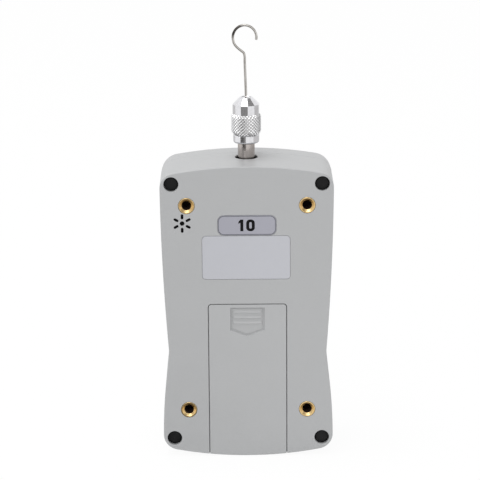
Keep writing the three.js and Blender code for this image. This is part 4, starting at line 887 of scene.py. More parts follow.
brass = turned_surface("turned_brass", "Y", rgb(236, 206, 150), 0.3, Tarnish=rgb(172, 134, 84), Wear=0.35,
                       Line_mm=0.2, Depth_mm=0.004, Metallic=1.0)
bush = turned("insert", [
    (insert_mouth_radius, 0), (insert_radius - 0.12, 0), (insert_radius, -0.12),
    (insert_radius, -insert_length + 0.3), (insert_radius - 0.3, -insert_length), (0, -insert_length),
    (0, 0.01 - insert_length + 0.5), (insert_thread_radius, 0.01 - insert_length + 0.5),
    (insert_thread_radius, -insert_mouth_depth), (insert_mouth_radius - 0.12, -0.14),
], 64)
carve(bush, [thread("tap", insert_thread_radius + 0.36, 0.38, 0.8, -insert_length + 1.2, -1.6, brass)])
set_in(bush, 0, 0, 0)
inserts = repeat("mounting_inserts", bush, [(x, back_y, z) for x, z in insert_places], brass)
finish(inserts, brass, ["mounting_insert_" + c for c in four_corners], angle=40)
# The tapped bore is painted dark: painted shade deep in the bore.
oiled_thread = turned_surface("oiled_thread", "Y", rgb(58, 42, 36), 0.8, Tarnish=rgb(30, 22, 20), Wear=0.6,
                              Specular_IOR_Level=0.15)
# Painted shade: the faces deep in the bore take a dark material.
inserts.data.materials.append(oiled_thread)
for polygon in inserts.data.polygons:
    near = min((polygon.center - Vector((x, 0, z)) * MM).xz.length for x, z in insert_places)
    if near < (insert_thread_radius + 0.5) * MM and polygon.center.y > (back_y + insert_mouth_depth) * MM:
        polygon.material_index = 1

# Capacity label: a capsule of satin aluminium-coloured film with a printed dark rim and a number, stuck
# into a shallow pocket of the rear cover. The number is plain, and print is 0.02 mm proud of the film.
label_face_y, label_back_y = back_y + 0.05, back_y + label_pocket

# Printed film and sleeves: a fine brushed nap, faint clouds and a few hairline rubs
rubbed_film, given = new_tree("rubbed_film", "ShaderNodeTree", finish_outputs, Colour=mid_grey,
                              Roughness=0.35, Nap=0.05, Rubs=0.3)
place = place_on_piece(rubbed_film)
nap = noise(mapped(place, (300.0, 6000.0, 6000.0)), 1.0, 2.0)
hair = noise(mapped(place, (90.0, 900.0, 2600.0), (0.0, 0.5, 0.0)), 1.0, 3.0, distortion=0.4)
rub = fade(hair, 0.66, 0.74, 0.0, given["Rubs"])
mixed = (nap - 0.5) + (noise(place, 110.0, 3.0) - 0.5)
end_finish(scaled(given["Colour"], (mixed * given["Nap"] + 1.0) + rub * 0.12),
           (mixed * 0.12 + given["Roughness"]) + rub * 0.2, nap, 0.4, 0.000006)

capacity_film = surface("capacity_film", rubbed_film, rgb(168, 168, 178), 0.36, Nap=0.05, Rubs=0.1,
                        Metallic=0.25)
print_ink = surface("print_ink", moulded_grain, rgb(8, 8, 10), 0.7, Grain_mm=0.2, Depth_mm=0.003,
                    Mottle=0.25, Specular_IOR_Level=0.2)
rim_ink = surface("rim_ink", moulded_grain, rgb(104, 105, 113), 0.4, Grain_mm=0.2, Depth_mm=0.003,
                  Mottle=0.15)


def film(name, x, z, width, height, corner, material, node):
    """Label with a slightly rolled-over edge."""
    made = plate(name, x, z, width, height, corner, [
        (-0.16, label_face_y), (-0.05, label_face_y + 0.03), (0, label_face_y + 0.1), (0, label_back_y),
    ], 10)
    finish(made, material, [node], angle=60)


def print_plate(x, z, width, height, corner, depth=0.02):
    """Print that lies just proud of a label's film, or, deeper, the cutter for a hole in it."""
    levels = [(0, label_face_y - depth), (0, label_face_y + depth + 0.04)]
    return plate("print", x, z, width, height, corner, levels, 10)


x, z, width, height, corner = capacity_label
print_cut, rim_outer, rim_inner, rim_corner = 0.2, 0.35, 1.0, 0.45
film("capacity_label_film", x, z, width, height, corner, capacity_film, "capacity_label")
rim = print_plate(x, z, width - rim_outer, height - rim_outer, corner - 0.17)
carve(rim, [print_plate(x, z, width - rim_inner, height - rim_inner, corner - rim_corner, print_cut)])
rim.name = "capacity_label_rim"
finish(rim, rim_ink)
figure_height, figure_width, figure_stroke, figure_apart = 5.2, 3.7, 1.3, 1.55
number = print_plate(x + figure_apart, z, figure_width, figure_height, 1.6)
carve(number, [print_plate(x + figure_apart, z, figure_width - 2 * figure_stroke,
                           figure_height - 2 * figure_stroke + 0.3, 0.55, print_cut)])
one_top, one_bottom, one_right = z + figure_height / 2, z - figure_height / 2, x - figure_apart
one_outline = [
    (one_right, one_top), (one_right - figure_stroke + 0.1, one_top), (one_right - 2.1, one_top - 0.95),
    (one_right - 2.1, one_top - 1.95), (one_right - figure_stroke, one_top - 1.35),
    (one_right - figure_stroke, one_bottom), (one_right, one_bottom),
]
one = skin("figure_one", [[(px, label_face_y + y, pz) for px, pz in one_outline] for y in (-0.02, 0.06)])
carve(number, [one], "UNION")
number.name = "capacity_number"
finish(number, print_ink)

# Blank label: a larger plate of the same kind of film below the capsule, lighter and a little glossier.
# It is stuck into its own pocket, carries no print, and its edge is slightly rolled over.
blank_film = surface("blank_film", rubbed_film, rgb(189, 190, 196), 0.32, Nap=0.03, Rubs=0.0, Metallic=0.08)
x, z, width, height, corner = blank_label
film("blank_label_film", x, z, width, height, corner, blank_film, "blank_label")

# Measuring shaft: a rod of ground steel that leaves the housing through a clear hole in its top. A stud
# at its lower end carries the lock nut and the overload stop nut, and one at its top holds the chuck.
# A ring of black felt, set just below the rim of the hole, fills the gap around the shaft with black as
# painted shade.
shaft_low, shaft_high = extent("measuring_shaft")
beam_high = extent("load_cell")[1]
shaft_radius, stud_radius, lower_stud_radius, stud_length = 3.72, 2.9, 1.95, 3.4
shoulder_z_top = shaft_high.z - stud_length

# Drawn or ground metal: fine streaks that run along the piece
drawn_streaks, given = new_tree(
    "drawn_streaks", "ShaderNodeTree", finish_outputs, Colour=(0.6, 0.6, 0.6, 1.0),
    Streak=(0.3, 0.3, 0.3, 1.0), Roughness=0.25, Across=(3500.0, 3500.0, 60.0), Amount=0.6,
)
streak = noise(mapped(place_on_piece(drawn_streaks), given["Across"]), 1.0, 4.0, 0.6)
share = fade(streak, 0.38, 0.66, 0.0, given["Amount"])
end_finish(blend(share, given["Colour"], given["Streak"]), share * 0.18 + given["Roughness"],
           streak, 0.5, 0.000005)

ground_steel = turned_surface("ground_steel", "Z", rgb(188, 181, 177), 0.12, Tarnish=rgb(140, 130, 124),
                              Wear=0.35, Line_mm=0.3, Depth_mm=0.008, Metallic=1.0)
shaft = turned("measuring_shaft_ground", [
    (0, shaft_low.z), (lower_stud_radius - 0.3, shaft_low.z), (lower_stud_radius - 0.3, beam_high.z),
    (shaft_radius - 0.25, beam_high.z), (shaft_radius, beam_high.z + 0.25),
    (shaft_radius, shoulder_z_top - 0.15), (shaft_radius - 0.15, shoulder_z_top),
    (stud_radius - 0.35, shoulder_z_top), (stud_radius - 0.35, shaft_high.z), (0, shaft_high.z),
], 96)
carve(shaft, [
    thread("lower_stud", lower_stud_radius, 0.3, 0.7, shaft_low.z + 0.2, beam_high.z + 0.1, ground_steel),
    thread("upper_stud", stud_radius, 0.35, 0.8, shoulder_z_top - 0.1, shaft_high.z - 0.2, ground_steel),
], "UNION")
finish(shaft, ground_steel, ["measuring_shaft"], "shaft")
# Painted shade: a black felt ring fills the gap between the shaft and its hole.
gap_shade_ring_bore, gap_shade_ring_low, gap_shade_ring_high = shaft_radius + 0.12, housing_height - 1.7, housing_height - 0.5
gap_shade_ring = turned("shaft_seal", [
    (gap_shade_ring_bore, gap_shade_ring_low), (shaft_hole_radius - 0.03, gap_shade_ring_low), (shaft_hole_radius - 0.03, gap_shade_ring_high),
    (gap_shade_ring_bore + 0.1, gap_shade_ring_high), (gap_shade_ring_bore, gap_shade_ring_high - 0.1),
], 72)
finish(gap_shade_ring, felt_black)


def hexagon_nut(name, node, bore, material):
    """Hexagon nut about Z with chamfered corners, in the place of its CAD node."""
    low, high = extent(node)
    corner = (high.x - low.x) / 2
    nut = turned(name, [(0, low.z), (corner, low.z), (corner, high.z), (0, high.z)], 6)
    round_off = turned("round_off", [
        (0, low.z), (corner * 0.9, low.z), (corner * 1.02, low.z + 0.5), (corner * 1.02, high.z - 0.5),
        (corner * 0.9, high.z), (0, high.z),
    ], 48)
    carve(nut, [round_off], "INTERSECT")
    carve(nut, [thread("tap", bore, 0.3, 0.7, low.z - 0.5, high.z + 0.5, material)])
    finish(nut, material, [node], "shaft")


hexagon_nut("lock_nut_hexagon", "shaft_lock_nut", lower_stud_radius + 0.12, ground_steel)
hexagon_nut("stop_nut_hexagon", "overload_stop_nut", lower_stud_radius + 0.12, ground_steel)

# Chuck: a nickel-plated body screwed onto the shaft, a nut with a diamond knurl and a nose of twelve
# flats, and a collet with three slits. Turning the nut draws the collet down and closes it on the hook.
ring_radius, ring_height, ring_chamfer = 5.75, 3.7, 1.0
chuck_thread_radius, chuck_bore = 4.5, 2.85
body_low, body_high = extent("chuck_body")
nut_low, nut_high = extent("chuck_nut")
collet_low, collet_high = extent("chuck_collet")
knurl_height, knurl_radius, knurl_taper, knurl_chamfer, knurl_drop = 8.9, 6.55, 1.7, 1.0, 0.5
knurl_depth, knurl_starts, knurl_rows = 0.42, 26, 50
nose_radius, nose_tip_radius, nose_flats, nose_turn = 5.88, 2.8, 12, math.radians(8)
nut_bore, nose_bore, seat_drop, seat_rise = 4.7, 2.05, 4.6, 3.0
polished_nickel = turned_surface("polished_nickel", "Z", rgb(229, 229, 232), 0.1,
                                 Tarnish=rgb(176, 172, 170), Wear=0.3, Line_mm=0.16, Depth_mm=0.003,
                                 Metallic=1.0)

chuck_body = turned("chuck_body_turned", [
    (stud_radius + fit, body_low.z),
    *[(ring_radius - inset, body_low.z + rise) for inset, rise in quarter(ring_chamfer)],
    (ring_radius, body_low.z + ring_height - 0.2),
    (ring_radius - 0.2, body_low.z + ring_height), (chuck_bore, body_low.z + ring_height),
    (chuck_bore, shaft_high.z + fit), (stud_radius + fit, shaft_high.z + fit),
], 96)
collar = thread("chuck_thread", chuck_thread_radius, 0.42, 0.75, body_low.z + ring_height - 0.3,
                body_high.z, polished_nickel)
carve(collar, [turned("bore", [(0, body_low.z), (chuck_bore, body_low.z),
                               (chuck_bore, body_high.z + 1), (0, body_high.z + 1)], 64)])
carve(chuck_body, [collar], "UNION")
finish(chuck_body, polished_nickel, ["chuck_body"], "shaft")

# The knurl: a turned envelope with crossing grooves
diamond_knurl, given = new_tree(
    "diamond_knurl", "GeometryNodeTree", ["Geometry"], Points="Geometry", Radius=0.0065, Low_radius=0.0056,
    Depth=0.0003, Starts=38.0, Pitch=0.001, Taper=0.0017, Chamfer=0.001, Drop=0.0005, Length=0.0089,
    Base=0.0, Around=304, Steps=66, Material="Material",
)


def diamonds(turn, starts, height, pitch):
    """Two crossing sets of ridges: 1 on the crests and 0 in the valleys."""
    around, along = turn * starts, height / pitch
    return ramp(around + along).math("MINIMUM", ramp(around - along))


def knurl_surface(turn, height):
    """Long taper below, short chamfer above, and two crossing sets of grooves over the whole."""
    swell = ((height / given["Taper"]).math("MINIMUM", 1.0) * (math.pi / 2)).math("SINE")
    fall = ((given["Length"] - height) / given["Chamfer"]).math("MINIMUM", 1.0)
    envelope = swell * (given["Radius"] - given["Low radius"]) + given["Low radius"]
    crest = (diamonds(turn, given["Starts"], height, given["Pitch"]) * 1.25).math("MINIMUM", 1.0)
    return envelope - (1.0 - fall) * given["Drop"] - (1.0 - crest) * given["Depth"]


wrapped(given, knurl_surface)


def darken(material, mask, colour):
    """Mixes a second colour into the finish where the mask says so."""
    nodes = material.node_tree.nodes
    blend(mask, Wire(nodes["finish"], "Colour"), colour).join(nodes["Principled BSDF"], "Base Color")


# The knurl's finish: satin nickel, with painted shade that darkens the valleys between the diamonds
knurl_valleys, given = new_tree("knurl_valleys", "ShaderNodeTree", ["Valley"], Starts=30.0, Pitch_mm=1.3,
                                Low_mm=0.0, High_mm=9.0)
at = axes_of(place_on_piece(knurl_valleys))
height = at["Z"] * 1000.0 - given["Low mm"]
valley_shade = fade(diamonds(turn_about_z(at), given["Starts"], height, given["Pitch mm"]), 0.06, 0.3, 1.0, 0.0)
inside = height.math("GREATER_THAN", 0.0) * height.math("LESS_THAN", given["High mm"] - given["Low mm"])
put(knurl_valleys, "NodeGroupOutput", {"Valley": valley_shade * inside})

knurled_nickel = turned_surface("knurled_nickel", "Z", rgb(246, 246, 247), 0.3, Tarnish=rgb(214, 212, 209),
                                Wear=0.3, Line_mm=0.16, Depth_mm=0.002, Metallic=1.0)
knurl_pitch, knurl_top = 8 * knurl_height / knurl_rows, nut_low.z + knurl_height
# Painted shade: the knurl's valleys are darkened in the nickel's colour.
darken(knurled_nickel, put(knurled_nickel.node_tree, "ShaderNodeGroup", {
    "Starts": float(knurl_starts), "Pitch mm": knurl_pitch, "Low mm": nut_low.z, "High mm": knurl_top,
}, node_tree=knurl_valleys), rgb(186, 185, 185))

chuck_nut = shape_by(
    diamond_knurl, as_object("chuck_nut_knurled", [(0, 0, 0)], []), Radius=knurl_radius * MM,
    Low_radius=ring_radius * MM, Depth=knurl_depth * MM, Starts=float(knurl_starts), Pitch=knurl_pitch * MM,
    Taper=knurl_taper * MM, Chamfer=knurl_chamfer * MM, Drop=knurl_drop * MM, Length=knurl_height * MM,
    Base=nut_low.z * MM, Around=8 * knurl_starts, Steps=knurl_rows, Material=knurled_nickel,
)
nose_lip, nose_cone = 0.6, 3.05
nose_top = nut_high.z - nose_lip
cone_low = nose_top - nose_cone
nose = turned("nose", [(0, knurl_top - 1), (nose_radius, knurl_top - 1), (nose_radius, cone_low),
                       (nose_tip_radius, nose_top), (0, nose_top)], nose_flats)
nose.data.transform(Matrix.Rotation(nose_turn, 4, "Z"))
ease = nose.modifiers.new("ease", "BEVEL")
ease.width, ease.segments, ease.limit_method = 0.12 * MM, 2, "ANGLE"
ease.angle_limit = math.radians(15)
settle(nose)
seat_z = nut_high.z - seat_drop
carve(chuck_nut, [nose], "UNION")
carve(chuck_nut, [turned("nut_bore", [
    (0, nut_low.z - 1), (nut_bore, nut_low.z - 1), (nut_bore, seat_z - seat_rise), (nose_bore, seat_z),
    (nose_bore, nose_top - 0.2), (nose_bore + 0.25, nose_top + 0.05), (nose_bore + 0.25, nose_top + 1),
    (0, nose_top + 1),
], 96)])
finish(chuck_nut, knurled_nickel, ["chuck_nut"], "nut", angle=24)
chuck_nut.data.materials.append(polished_nickel)
for polygon in chuck_nut.data.polygons:
    polygon.material_index = int(polygon.center.z > knurl_top * MM)

wire_radius = 0.56
collet_slope = (nut_bore - nose_bore) / seat_rise
collet_shoulder, collet_nose, collet_tail = 3.1, 1.85, 2.6
shoulder_top = seat_z - 0.2
shoulder_rise = (collet_shoulder - collet_nose) / collet_slope
collet_bore = wire_radius + fit
collet = turned("collet_slit", [
    (collet_bore, collet_low.z), (collet_tail, collet_low.z), (collet_tail, shoulder_top - shoulder_rise - 1),
    (collet_shoulder, shoulder_top - shoulder_rise - 1), (collet_shoulder, shoulder_top - shoulder_rise),
    (collet_nose, shoulder_top), (collet_nose, nose_top - 0.22), (collet_nose - 0.12, nose_top - 0.1),
    (collet_bore + 0.1, nose_top - 0.1), (collet_bore, nose_top - 0.2),
], 72)
slit_count, slit_depth, slit_width, slit_turn = 3, 11, 0.4, math.radians(30)
slit = block("slit", 0, collet_tail + 1.5, -slit_width / 2, slit_width / 2, -slit_depth, overrun)
slit.data.transform(Matrix.Rotation(slit_turn, 4, "Z"))
carve(collet, [repeat("slits", slit, [(0, 0, collet_high.z)] * slit_count, polished_nickel,
                      (0, 0, math.radians(360 / slit_count)))])
finish(collet, polished_nickel, ["chuck_collet"], "collet")

# Hook: hard-drawn spring wire, bent to an open eye above a slight lean and a reverse bend. Its straight
# shank is held by the collet, so that another probe can take its place.
hook_foot = nut_high.z
hook_centre, hook_radius, hook_rise = Vector((-0.4, 0, hook_foot + 25.45)), 5.08, 1.05
heel, tip, eye_steps = math.radians(196), math.radians(-11.5), 20
swept_wire, given = new_tree("swept_wire", "GeometryNodeTree", ["Geometry"], Points="Geometry", Path="Object",
                             Radius=0.0005, Sides=24, Step=0.0004, Material="Material")
path = put(swept_wire, "GeometryNodeObjectInfo", {"Object": given["Path"]}, transform_space="ORIGINAL")
even = put(swept_wire, "GeometryNodeResampleCurve", {
    "Curve": path["Geometry"], "Length": given["Step"],
}, mode="LENGTH")
share = put(swept_wire, "GeometryNodeSplineParameter")["Length"]
to_end = share.math("MINIMUM", put(swept_wire, "GeometryNodeSplineLength")["Length"] - share)
easing = (to_end / given["Radius"] * 0.6 + 0.86).math("MINIMUM", 1.0)
profile = put(swept_wire, "GeometryNodeCurvePrimitiveCircle", {
    "Resolution": given["Sides"], "Radius": given["Radius"],
})
paint(given, put(swept_wire, "GeometryNodeCurveToMesh", {
    "Curve": even, "Profile Curve": profile, "Scale": easing, "Fill Caps": True,
}))


def sweep(name, points, radius, material):
    """Wire swept along a smooth path through points in millimetres."""
    path = bpy.data.curves.new(name + "_path", "CURVE")
    path.dimensions = "3D"
    path.resolution_u = 12
    knots = path.splines.new("BEZIER").bezier_points
    knots.add(len(points) - 1)
    for knot, point in zip(knots, points):
        knot.co = Vector(point) * MM
        knot.handle_left_type = knot.handle_right_type = "AUTO"
    guide = bpy.data.objects.new(name + "_path", path)
    bpy.context.scene.collection.objects.link(guide)
    bpy.context.view_layer.update()
    made = shape_by(swept_wire, as_object(name, [(0, 0, 0)], []), Path=guide, Radius=radius * MM,
                    Material=material)
    bpy.data.objects.remove(guide)
    return made


spring_wire = surface("drawn_wire", drawn_streaks, rgb(206, 203, 199), 0.16, Streak=rgb(168, 162, 154),
                      Across=(500.0, 500.0, 500.0), Amount=0.35, Metallic=1.0)
# Painted dark reflection: the left and upper arc of the eye is darkened in its colour, with a little noise
bend_stain, given = new_tree("bend_stain", "ShaderNodeTree", ["Stain"], Centre_mm=(0.0, 0.0, 0.0))
place = place_on_piece(bend_stain)
away = axes_of(put(bend_stain, "ShaderNodeVectorMath", {
    0: scaled(place, 1000.0), 1: given["Centre mm"],
}, operation="SUBTRACT"))
turned_by = away["Z"].math("ARCTAN2", away["X"] * -1.0)
left_arc_mask = fade(turned_by, -0.08, 0.3) * fade(turned_by, 1.2, 1.75, 1.0, 0.0)
tarnish_and_dark_reflection = left_arc_mask * (noise(place, 900.0, 2.0) * 0.4 + 0.7)
put(bend_stain, "NodeGroupOutput", {"Stain": tarnish_and_dark_reflection.math("MINIMUM", 1.0)})
# Painted dark reflection: the left and upper arc of the eye is darkened in the wire's colour.
darken(spring_wire, put(spring_wire.node_tree, "ShaderNodeGroup", {"Centre mm": hook_centre},
                        node_tree=bend_stain), rgb(66, 62, 58))

hook_path = [(x, 0, hook_foot + rise) for x, rise in (
    (0, extent("hook")[0].z - hook_foot), (0, -6.5), (0, 0), (-0.2, 7.4), (-0.42, 14.6), (-0.54, 17.8),
    (-0.86, 18.75), (-1.72, 19.5), (-2.9, 20.45), (-3.85, 21.3), (-4.6, 22.25), (-5.1, 23.2),
)]
for i in range(eye_steps + 1):
    turn = heel + (tip - heel) * i / eye_steps
    rise = hook_rise if math.sin(turn) > 0 else 1.0
    hook_path.append(hook_centre + Vector((math.cos(turn), 0, math.sin(turn) * rise)) * hook_radius)
hook = sweep("hook_wire", hook_path, wire_radius, spring_wire)
finish(hook, spring_wire, ["hook"], "hook", angle=50)

# Load cell and bracket: a beam of milled aluminium with two joined holes, carried at one end by a bracket
# that is screwed to bosses of the rear cover. The shaft pulls its other end, and two foil gauges feel it.
milled_aluminium = surface("milled_aluminium", drawn_streaks, rgb(206, 209, 212), 0.27,
                           Streak=rgb(168, 172, 177), Across=(70.0, 2600.0, 2600.0), Amount=0.6,
                           Metallic=1.0)
gauge_foil = surface("gauge_foil", rubbed_film, rgb(198, 146, 70), 0.34, Nap=0.12, Rubs=0.3, Metallic=0.2)


def coat(material, *nodes):
    """Gives CAD nodes that stay their finish."""
    for node in nodes:
        for held in bpy.data.objects[node].material_slots:
            held.material = material


coat(milled_aluminium, "load_cell", "load_cell_bracket")
coat(gauge_foil, "strain_gauge_upper", "strain_gauge_lower")
machine_head, machine_pitch = 2.0, 0.7
cell_screw = pan_screw("cell_screw", head=screw_head, height=machine_head, radius=screw_radius, length=13.0,
                       pitch=machine_pitch, material=black_oxide)
cell_screw_nodes = ["load_cell_screw_inner", "load_cell_screw_outer"]
cell_screws = repeat("load_cell_screw_pair", cell_screw,
                     [(middle(node).x, 0, beam_high.z) for node in cell_screw_nodes], black_oxide)
finish(cell_screws, black_oxide, cell_screw_nodes, angle=40)
bracket_screw_seat = bracket_low.y + 5.0
bracket_screw = pan_screw("bracket_screw", head=screw_head, height=machine_head, radius=screw_radius,
                          length=9.8, pitch=machine_pitch, material=black_oxide)
screws("bracket_screw_pair", bracket_screw, bracket_places, bracket_screw_seat, 1,
       ["bracket_screw_inner", "bracket_screw_outer"], black_oxide)

# Display: a clear acrylic window with a dark frame printed behind it, a liquid-crystal panel that is
# off, and the frosted block of its backlight. The window is glued on the ledge of the front cover.
clear_acrylic = surface("clear_acrylic", rubbed_film, rgb(244, 248, 244), 0.04, Nap=0.004, Rubs=0.03,
                        IOR=1.49, Transmission_Weight=1.0)
window_face_y = window_high.y
pane = plate("window_pane", 0, window_z, window_width, window_height, window_corner, [
    (0, window_low.y), (0, window_face_y - 0.12), (-0.04, window_face_y - 0.04), (-0.12, window_face_y),
], 12)
finish(pane, clear_acrylic, ["display_window"])
frame_ink = surface("frame_ink", moulded_grain, rgb(52, 56, 62), 0.4, Grain_mm=0.2, Depth_mm=0.002,
                    Mottle=0.2)
window_frame = plate("window_frame_print", 0, window_z, window_width - 0.3, window_height - 0.3,
                     window_corner - 0.15, [(0, window_low.y - 0.07), (0, window_low.y - 0.02)], 12)
frame_side, frame_end, view_corner = 4.3, 4.1, 1.2
carve(window_frame, [plate("view", 0, window_z, window_width - 2 * frame_side, window_height - 2 * frame_end,
                           view_corner, [(0, window_low.y - overrun), (0, window_low.y + overrun)])])
finish(window_frame, frame_ink)
lcd_low, lcd_high = extent("lcd_panel")
liquid_crystal = surface("liquid_crystal", rubbed_film, rgb(163, 172, 150), 0.24, Nap=0.012, Rubs=0.0,
                         Coat_Weight=0.6, Coat_Roughness=0.05)
lcd_width, lcd_height = lcd_high.x - lcd_low.x, lcd_high.z - lcd_low.z
panel = plate("lcd_glass", 0, window_z, lcd_width, lcd_height, 0.3, [
    (-0.15, lcd_low.y), (0, lcd_low.y + 0.15), (0, lcd_low.y + 1.0), (-0.2, lcd_low.y + 1.05),
    (-0.2, lcd_low.y + 1.15), (0, lcd_low.y + 1.2), (0, lcd_high.y - 0.15), (-0.15, lcd_high.y),
], 3)
finish(panel, liquid_crystal, ["lcd_panel"])
frosted = surface("frosted_diffuser", moulded_grain, rgb(236, 238, 234), 0.55, Grain_mm=0.3, Depth_mm=0.01,
                  Mottle=0.04)
coat(frosted, "lcd_backlight")

# Main board: green laminate with tracks under its solder mask, a controller with forty gull-wing leads,
# and the buzzer behind the sound outlet. Four screws hold it to posts of the front cover.
board_tracks, given = new_tree("board_tracks", "ShaderNodeTree", finish_outputs, Colour=mid_grey,
                               Track=(0.05, 0.26, 0.12, 1.0), Roughness=0.3)
place = mapped(place_on_piece(board_tracks), turn=(math.radians(90), 0, 0))
runs = put(board_tracks, "ShaderNodeTexBrick", {
    "Vector": place, "Scale": 160.0, "Mortar Size": 0.035, "Mortar Smooth": 0.2, "Brick Width": 3.4,
    "Row Height": 0.17, "Color1": (0, 0, 0, 1), "Color2": (0, 0, 0, 1), "Mortar": (1, 1, 1, 1),
}, offset=0.37, offset_frequency=3, squash=0.55, squash_frequency=4)["Fac"]
cloud = noise(place, 90.0, 3.0)
track = (fade(cloud, 0.5, 0.53) * 0.5).math("MAXIMUM", runs)
end_finish(blend(track, given["Colour"], given["Track"]), cloud * 0.15 + given["Roughness"],
           track, 0.6, 0.00003)
coat(surface("solder_mask", board_tracks, (0.02, 0.15, 0.07, 1.0), 0.3), "main_board")

chip_centre, chip_half = middle("controller_chip"), 5.1
chip_low, chip_high = extent("controller_chip")
black_epoxy = surface("black_epoxy", moulded_grain, rgb(38, 40, 43), 0.5, Grain_mm=0.12, Depth_mm=0.008,
                      Mottle=0.25)
tin_plate = surface("tin_plate", drawn_streaks, rgb(214, 215, 214), 0.28, Streak=rgb(172, 172, 170),
                    Across=(900.0, 900.0, 900.0), Amount=0.5, Metallic=1.0)
chip = plate("controller_package", chip_centre.x, chip_centre.z, 2 * chip_half, 2 * chip_half, 0.3, [
    (-0.12, chip_low.y), (0, chip_low.y + 0.6), (-0.12, chip_high.y - 0.1),
], 3)
dimple = rod("dimple", 0.5, chip_centre.x - 4.1, chip_centre.z + 4.1, chip_low.y - 1, chip_low.y + 0.12, 24)
carve(chip, [dimple])
finish(chip, black_epoxy, ["controller_chip"])
lead = skin("lead", [
    [(side * 0.17, y, reach) for side, y in ((-1, top), (1, top), (1, top + 0.16), (-1, top + 0.16))]
    for reach, top in ((chip_half - 0.1, 0.6), (5.35, 0.6), (5.5, 1.2), (6.0, 1.22))
])
leads_a_side, lead_pitch = 10, 0.9
lead_row = repeat("lead_row", lead, [
    (lead_pitch * (i - (leads_a_side - 1) / 2), 0, 0) for i in range(leads_a_side)
], tin_plate)
leads = repeat("controller_leads", lead_row, [(chip_centre.x, chip_low.y, chip_centre.z)] * 4, tin_plate,
               (0, math.radians(90), 0))
finish(leads, tin_plate)

buzzer_low, buzzer_high = extent("buzzer")
buzzer_at, buzzer_height = middle("buzzer"), buzzer_high.y - buzzer_low.y
can = turned("buzzer_can", [
    (0, 0), (5.8, 0), (6.0, 0.2), (6.0, buzzer_height - 0.5), (5.85, buzzer_height - 0.15),
    (5.5, buzzer_height), (1.15, buzzer_height), (1.0, buzzer_height - 0.15), (1.0, buzzer_height - 1.2),
    (0, buzzer_height - 1.2),
], 64)
set_in(can, buzzer_at.x, buzzer_at.z, buzzer_high.y)
finish(can, black_epoxy, ["buzzer"])
zinc_plate = surface("zinc_plate", moulded_grain, rgb(196, 199, 203), 0.3, Grain_mm=0.5, Depth_mm=0.006,
                     Mottle=0.25, Metallic=1.0)
board_screw = pan_screw("board_screw", head=2.1, height=1.4, radius=1.1, length=6.1, pitch=0.6,
                        material=zinc_plate)
screws("board_screw_set", board_screw, board_places, board_low.y, -1,
       ["board_screw_" + c for c in board_corners], zinc_plate)

# Sockets: a USB socket with a folded tin-plated shell and a moulded power jack, both soldered to the
# board and set in behind their openings in the left side wall.
coat(tin_plate, "usb_socket")
coat(black_epoxy, "power_jack")

# Keys: six domed caps of grey silicone rubber, each with a flange behind the front cover that keeps it
# in. Each presses the plunger of its own switch on the board.
key_silicone = surface("key_silicone", moulded_grain, rgb(96, 103, 110), 0.55, Grain_mm=0.3, Depth_mm=0.008,
                       Mottle=0.08, Specular_IOR_Level=0.35)
for name in key_names:
    low, high = extent("key_" + name)
    x, z = key_places[name]
    cap = plate("key_cap_" + name, x, z, key_width, key_height, key_corner, [
        (0.75, low.y), (0.9, low.y + 0.15), (0.9, low.y + 0.75), (0.75, low.y + 0.9), (0, low.y + 0.9),
        (0, high.y - 0.75), (-0.06, high.y - 0.5), (-0.24, high.y - 0.3), (-0.6, high.y - 0.15),
        (-1.3, high.y - 0.06), (-2.3, high.y - 0.01), (-3.0, high.y),
    ], 10)
    finish(cap, key_silicone, ["key_" + name], "key_" + name, angle=40)
switch_case = surface("switch_case", moulded_grain, rgb(46, 48, 52), 0.42, Grain_mm=0.2, Depth_mm=0.005,
                      Mottle=0.2)
coat(switch_case, *("switch_" + name for name in key_names))

# Battery bay: a moulded black tray behind the door with two AA cells in printed sleeves. Tin-plated
# contacts line its ends, and a cone of spring wire presses on the flat end of each cell.
tray_black = surface("tray_black", moulded_grain, rgb(42, 44, 47), 0.5, Grain_mm=0.4, Depth_mm=0.012,
                     Mottle=0.12)
coat(tray_black, "battery_tray")
coat(tin_plate, "battery_contact_bridge", "battery_contact_negative", "battery_contact_positive")
cell_low, cell_high = extent("battery_cell_left")
cell_half, cell_radius, cell_middle = (cell_high.z - cell_low.z) / 2, 7.1, middle("battery_cell_left")
band_length, metal_end_radius = 15, 6.3
cell_sleeve = surface("cell_sleeve", rubbed_film, rgb(46, 118, 96), 0.26, Nap=0.06, Rubs=0.35)
cell = turned("cell", [
    (0, -cell_half), (4.6, -cell_half), (4.8, -cell_half + 0.12), (5.6, -cell_half + 0.12),
    (6.6, -cell_half + 0.02), (cell_radius - 0.12, -cell_half + 0.2), (cell_radius, -cell_half + 0.6),
    (cell_radius, cell_half - band_length), (cell_radius - 0.04, cell_half - band_length + 0.04),
    (cell_radius - 0.04, cell_half - 1.7), (cell_radius - 0.12, cell_half - 1.3), (6.5, cell_half - 1.1),
    (3.0, cell_half - 1.1), (2.7, cell_half - 0.9), (2.7, cell_half - 0.15), (2.55, cell_half),
    (0, cell_half),
], 48)
cells = repeat("battery_cells", cell, [
    (-cell_middle.x * side, cell_middle.y, cell_middle.z) for side in (-1, 1)
], cell_sleeve, (math.radians(180), 0, 0))
finish(cells, cell_sleeve, ["battery_cell_left", "battery_cell_right"], angle=30)
sleeve_band = surface("sleeve_band", rubbed_film, rgb(44, 46, 50), 0.26, Nap=0.06, Rubs=0.35)
cells.data.materials.append(tin_plate)
cells.data.materials.append(sleeve_band)
for polygon in cells.data.polygons:
    at = polygon.center / MM - cell_middle
    across, above = abs(abs(polygon.center.x / MM) - abs(cell_middle.x)), at.z
    if abs(above) > cell_half - 1.25 and math.hypot(across, at.y) < metal_end_radius:
        polygon.material_index = 1
    elif above * math.copysign(1, -polygon.center.x) > cell_half - band_length:
        polygon.material_index = 2
contact_face, spring_gap, spring_radius = 1.7, 0.15, 0.35
spring_foot, spring_top, spring_turns, spring_steps = 4.2, 2.4, 2.5, 60
spring_inset, spring_press = contact_face + spring_gap + spring_radius, 0.5
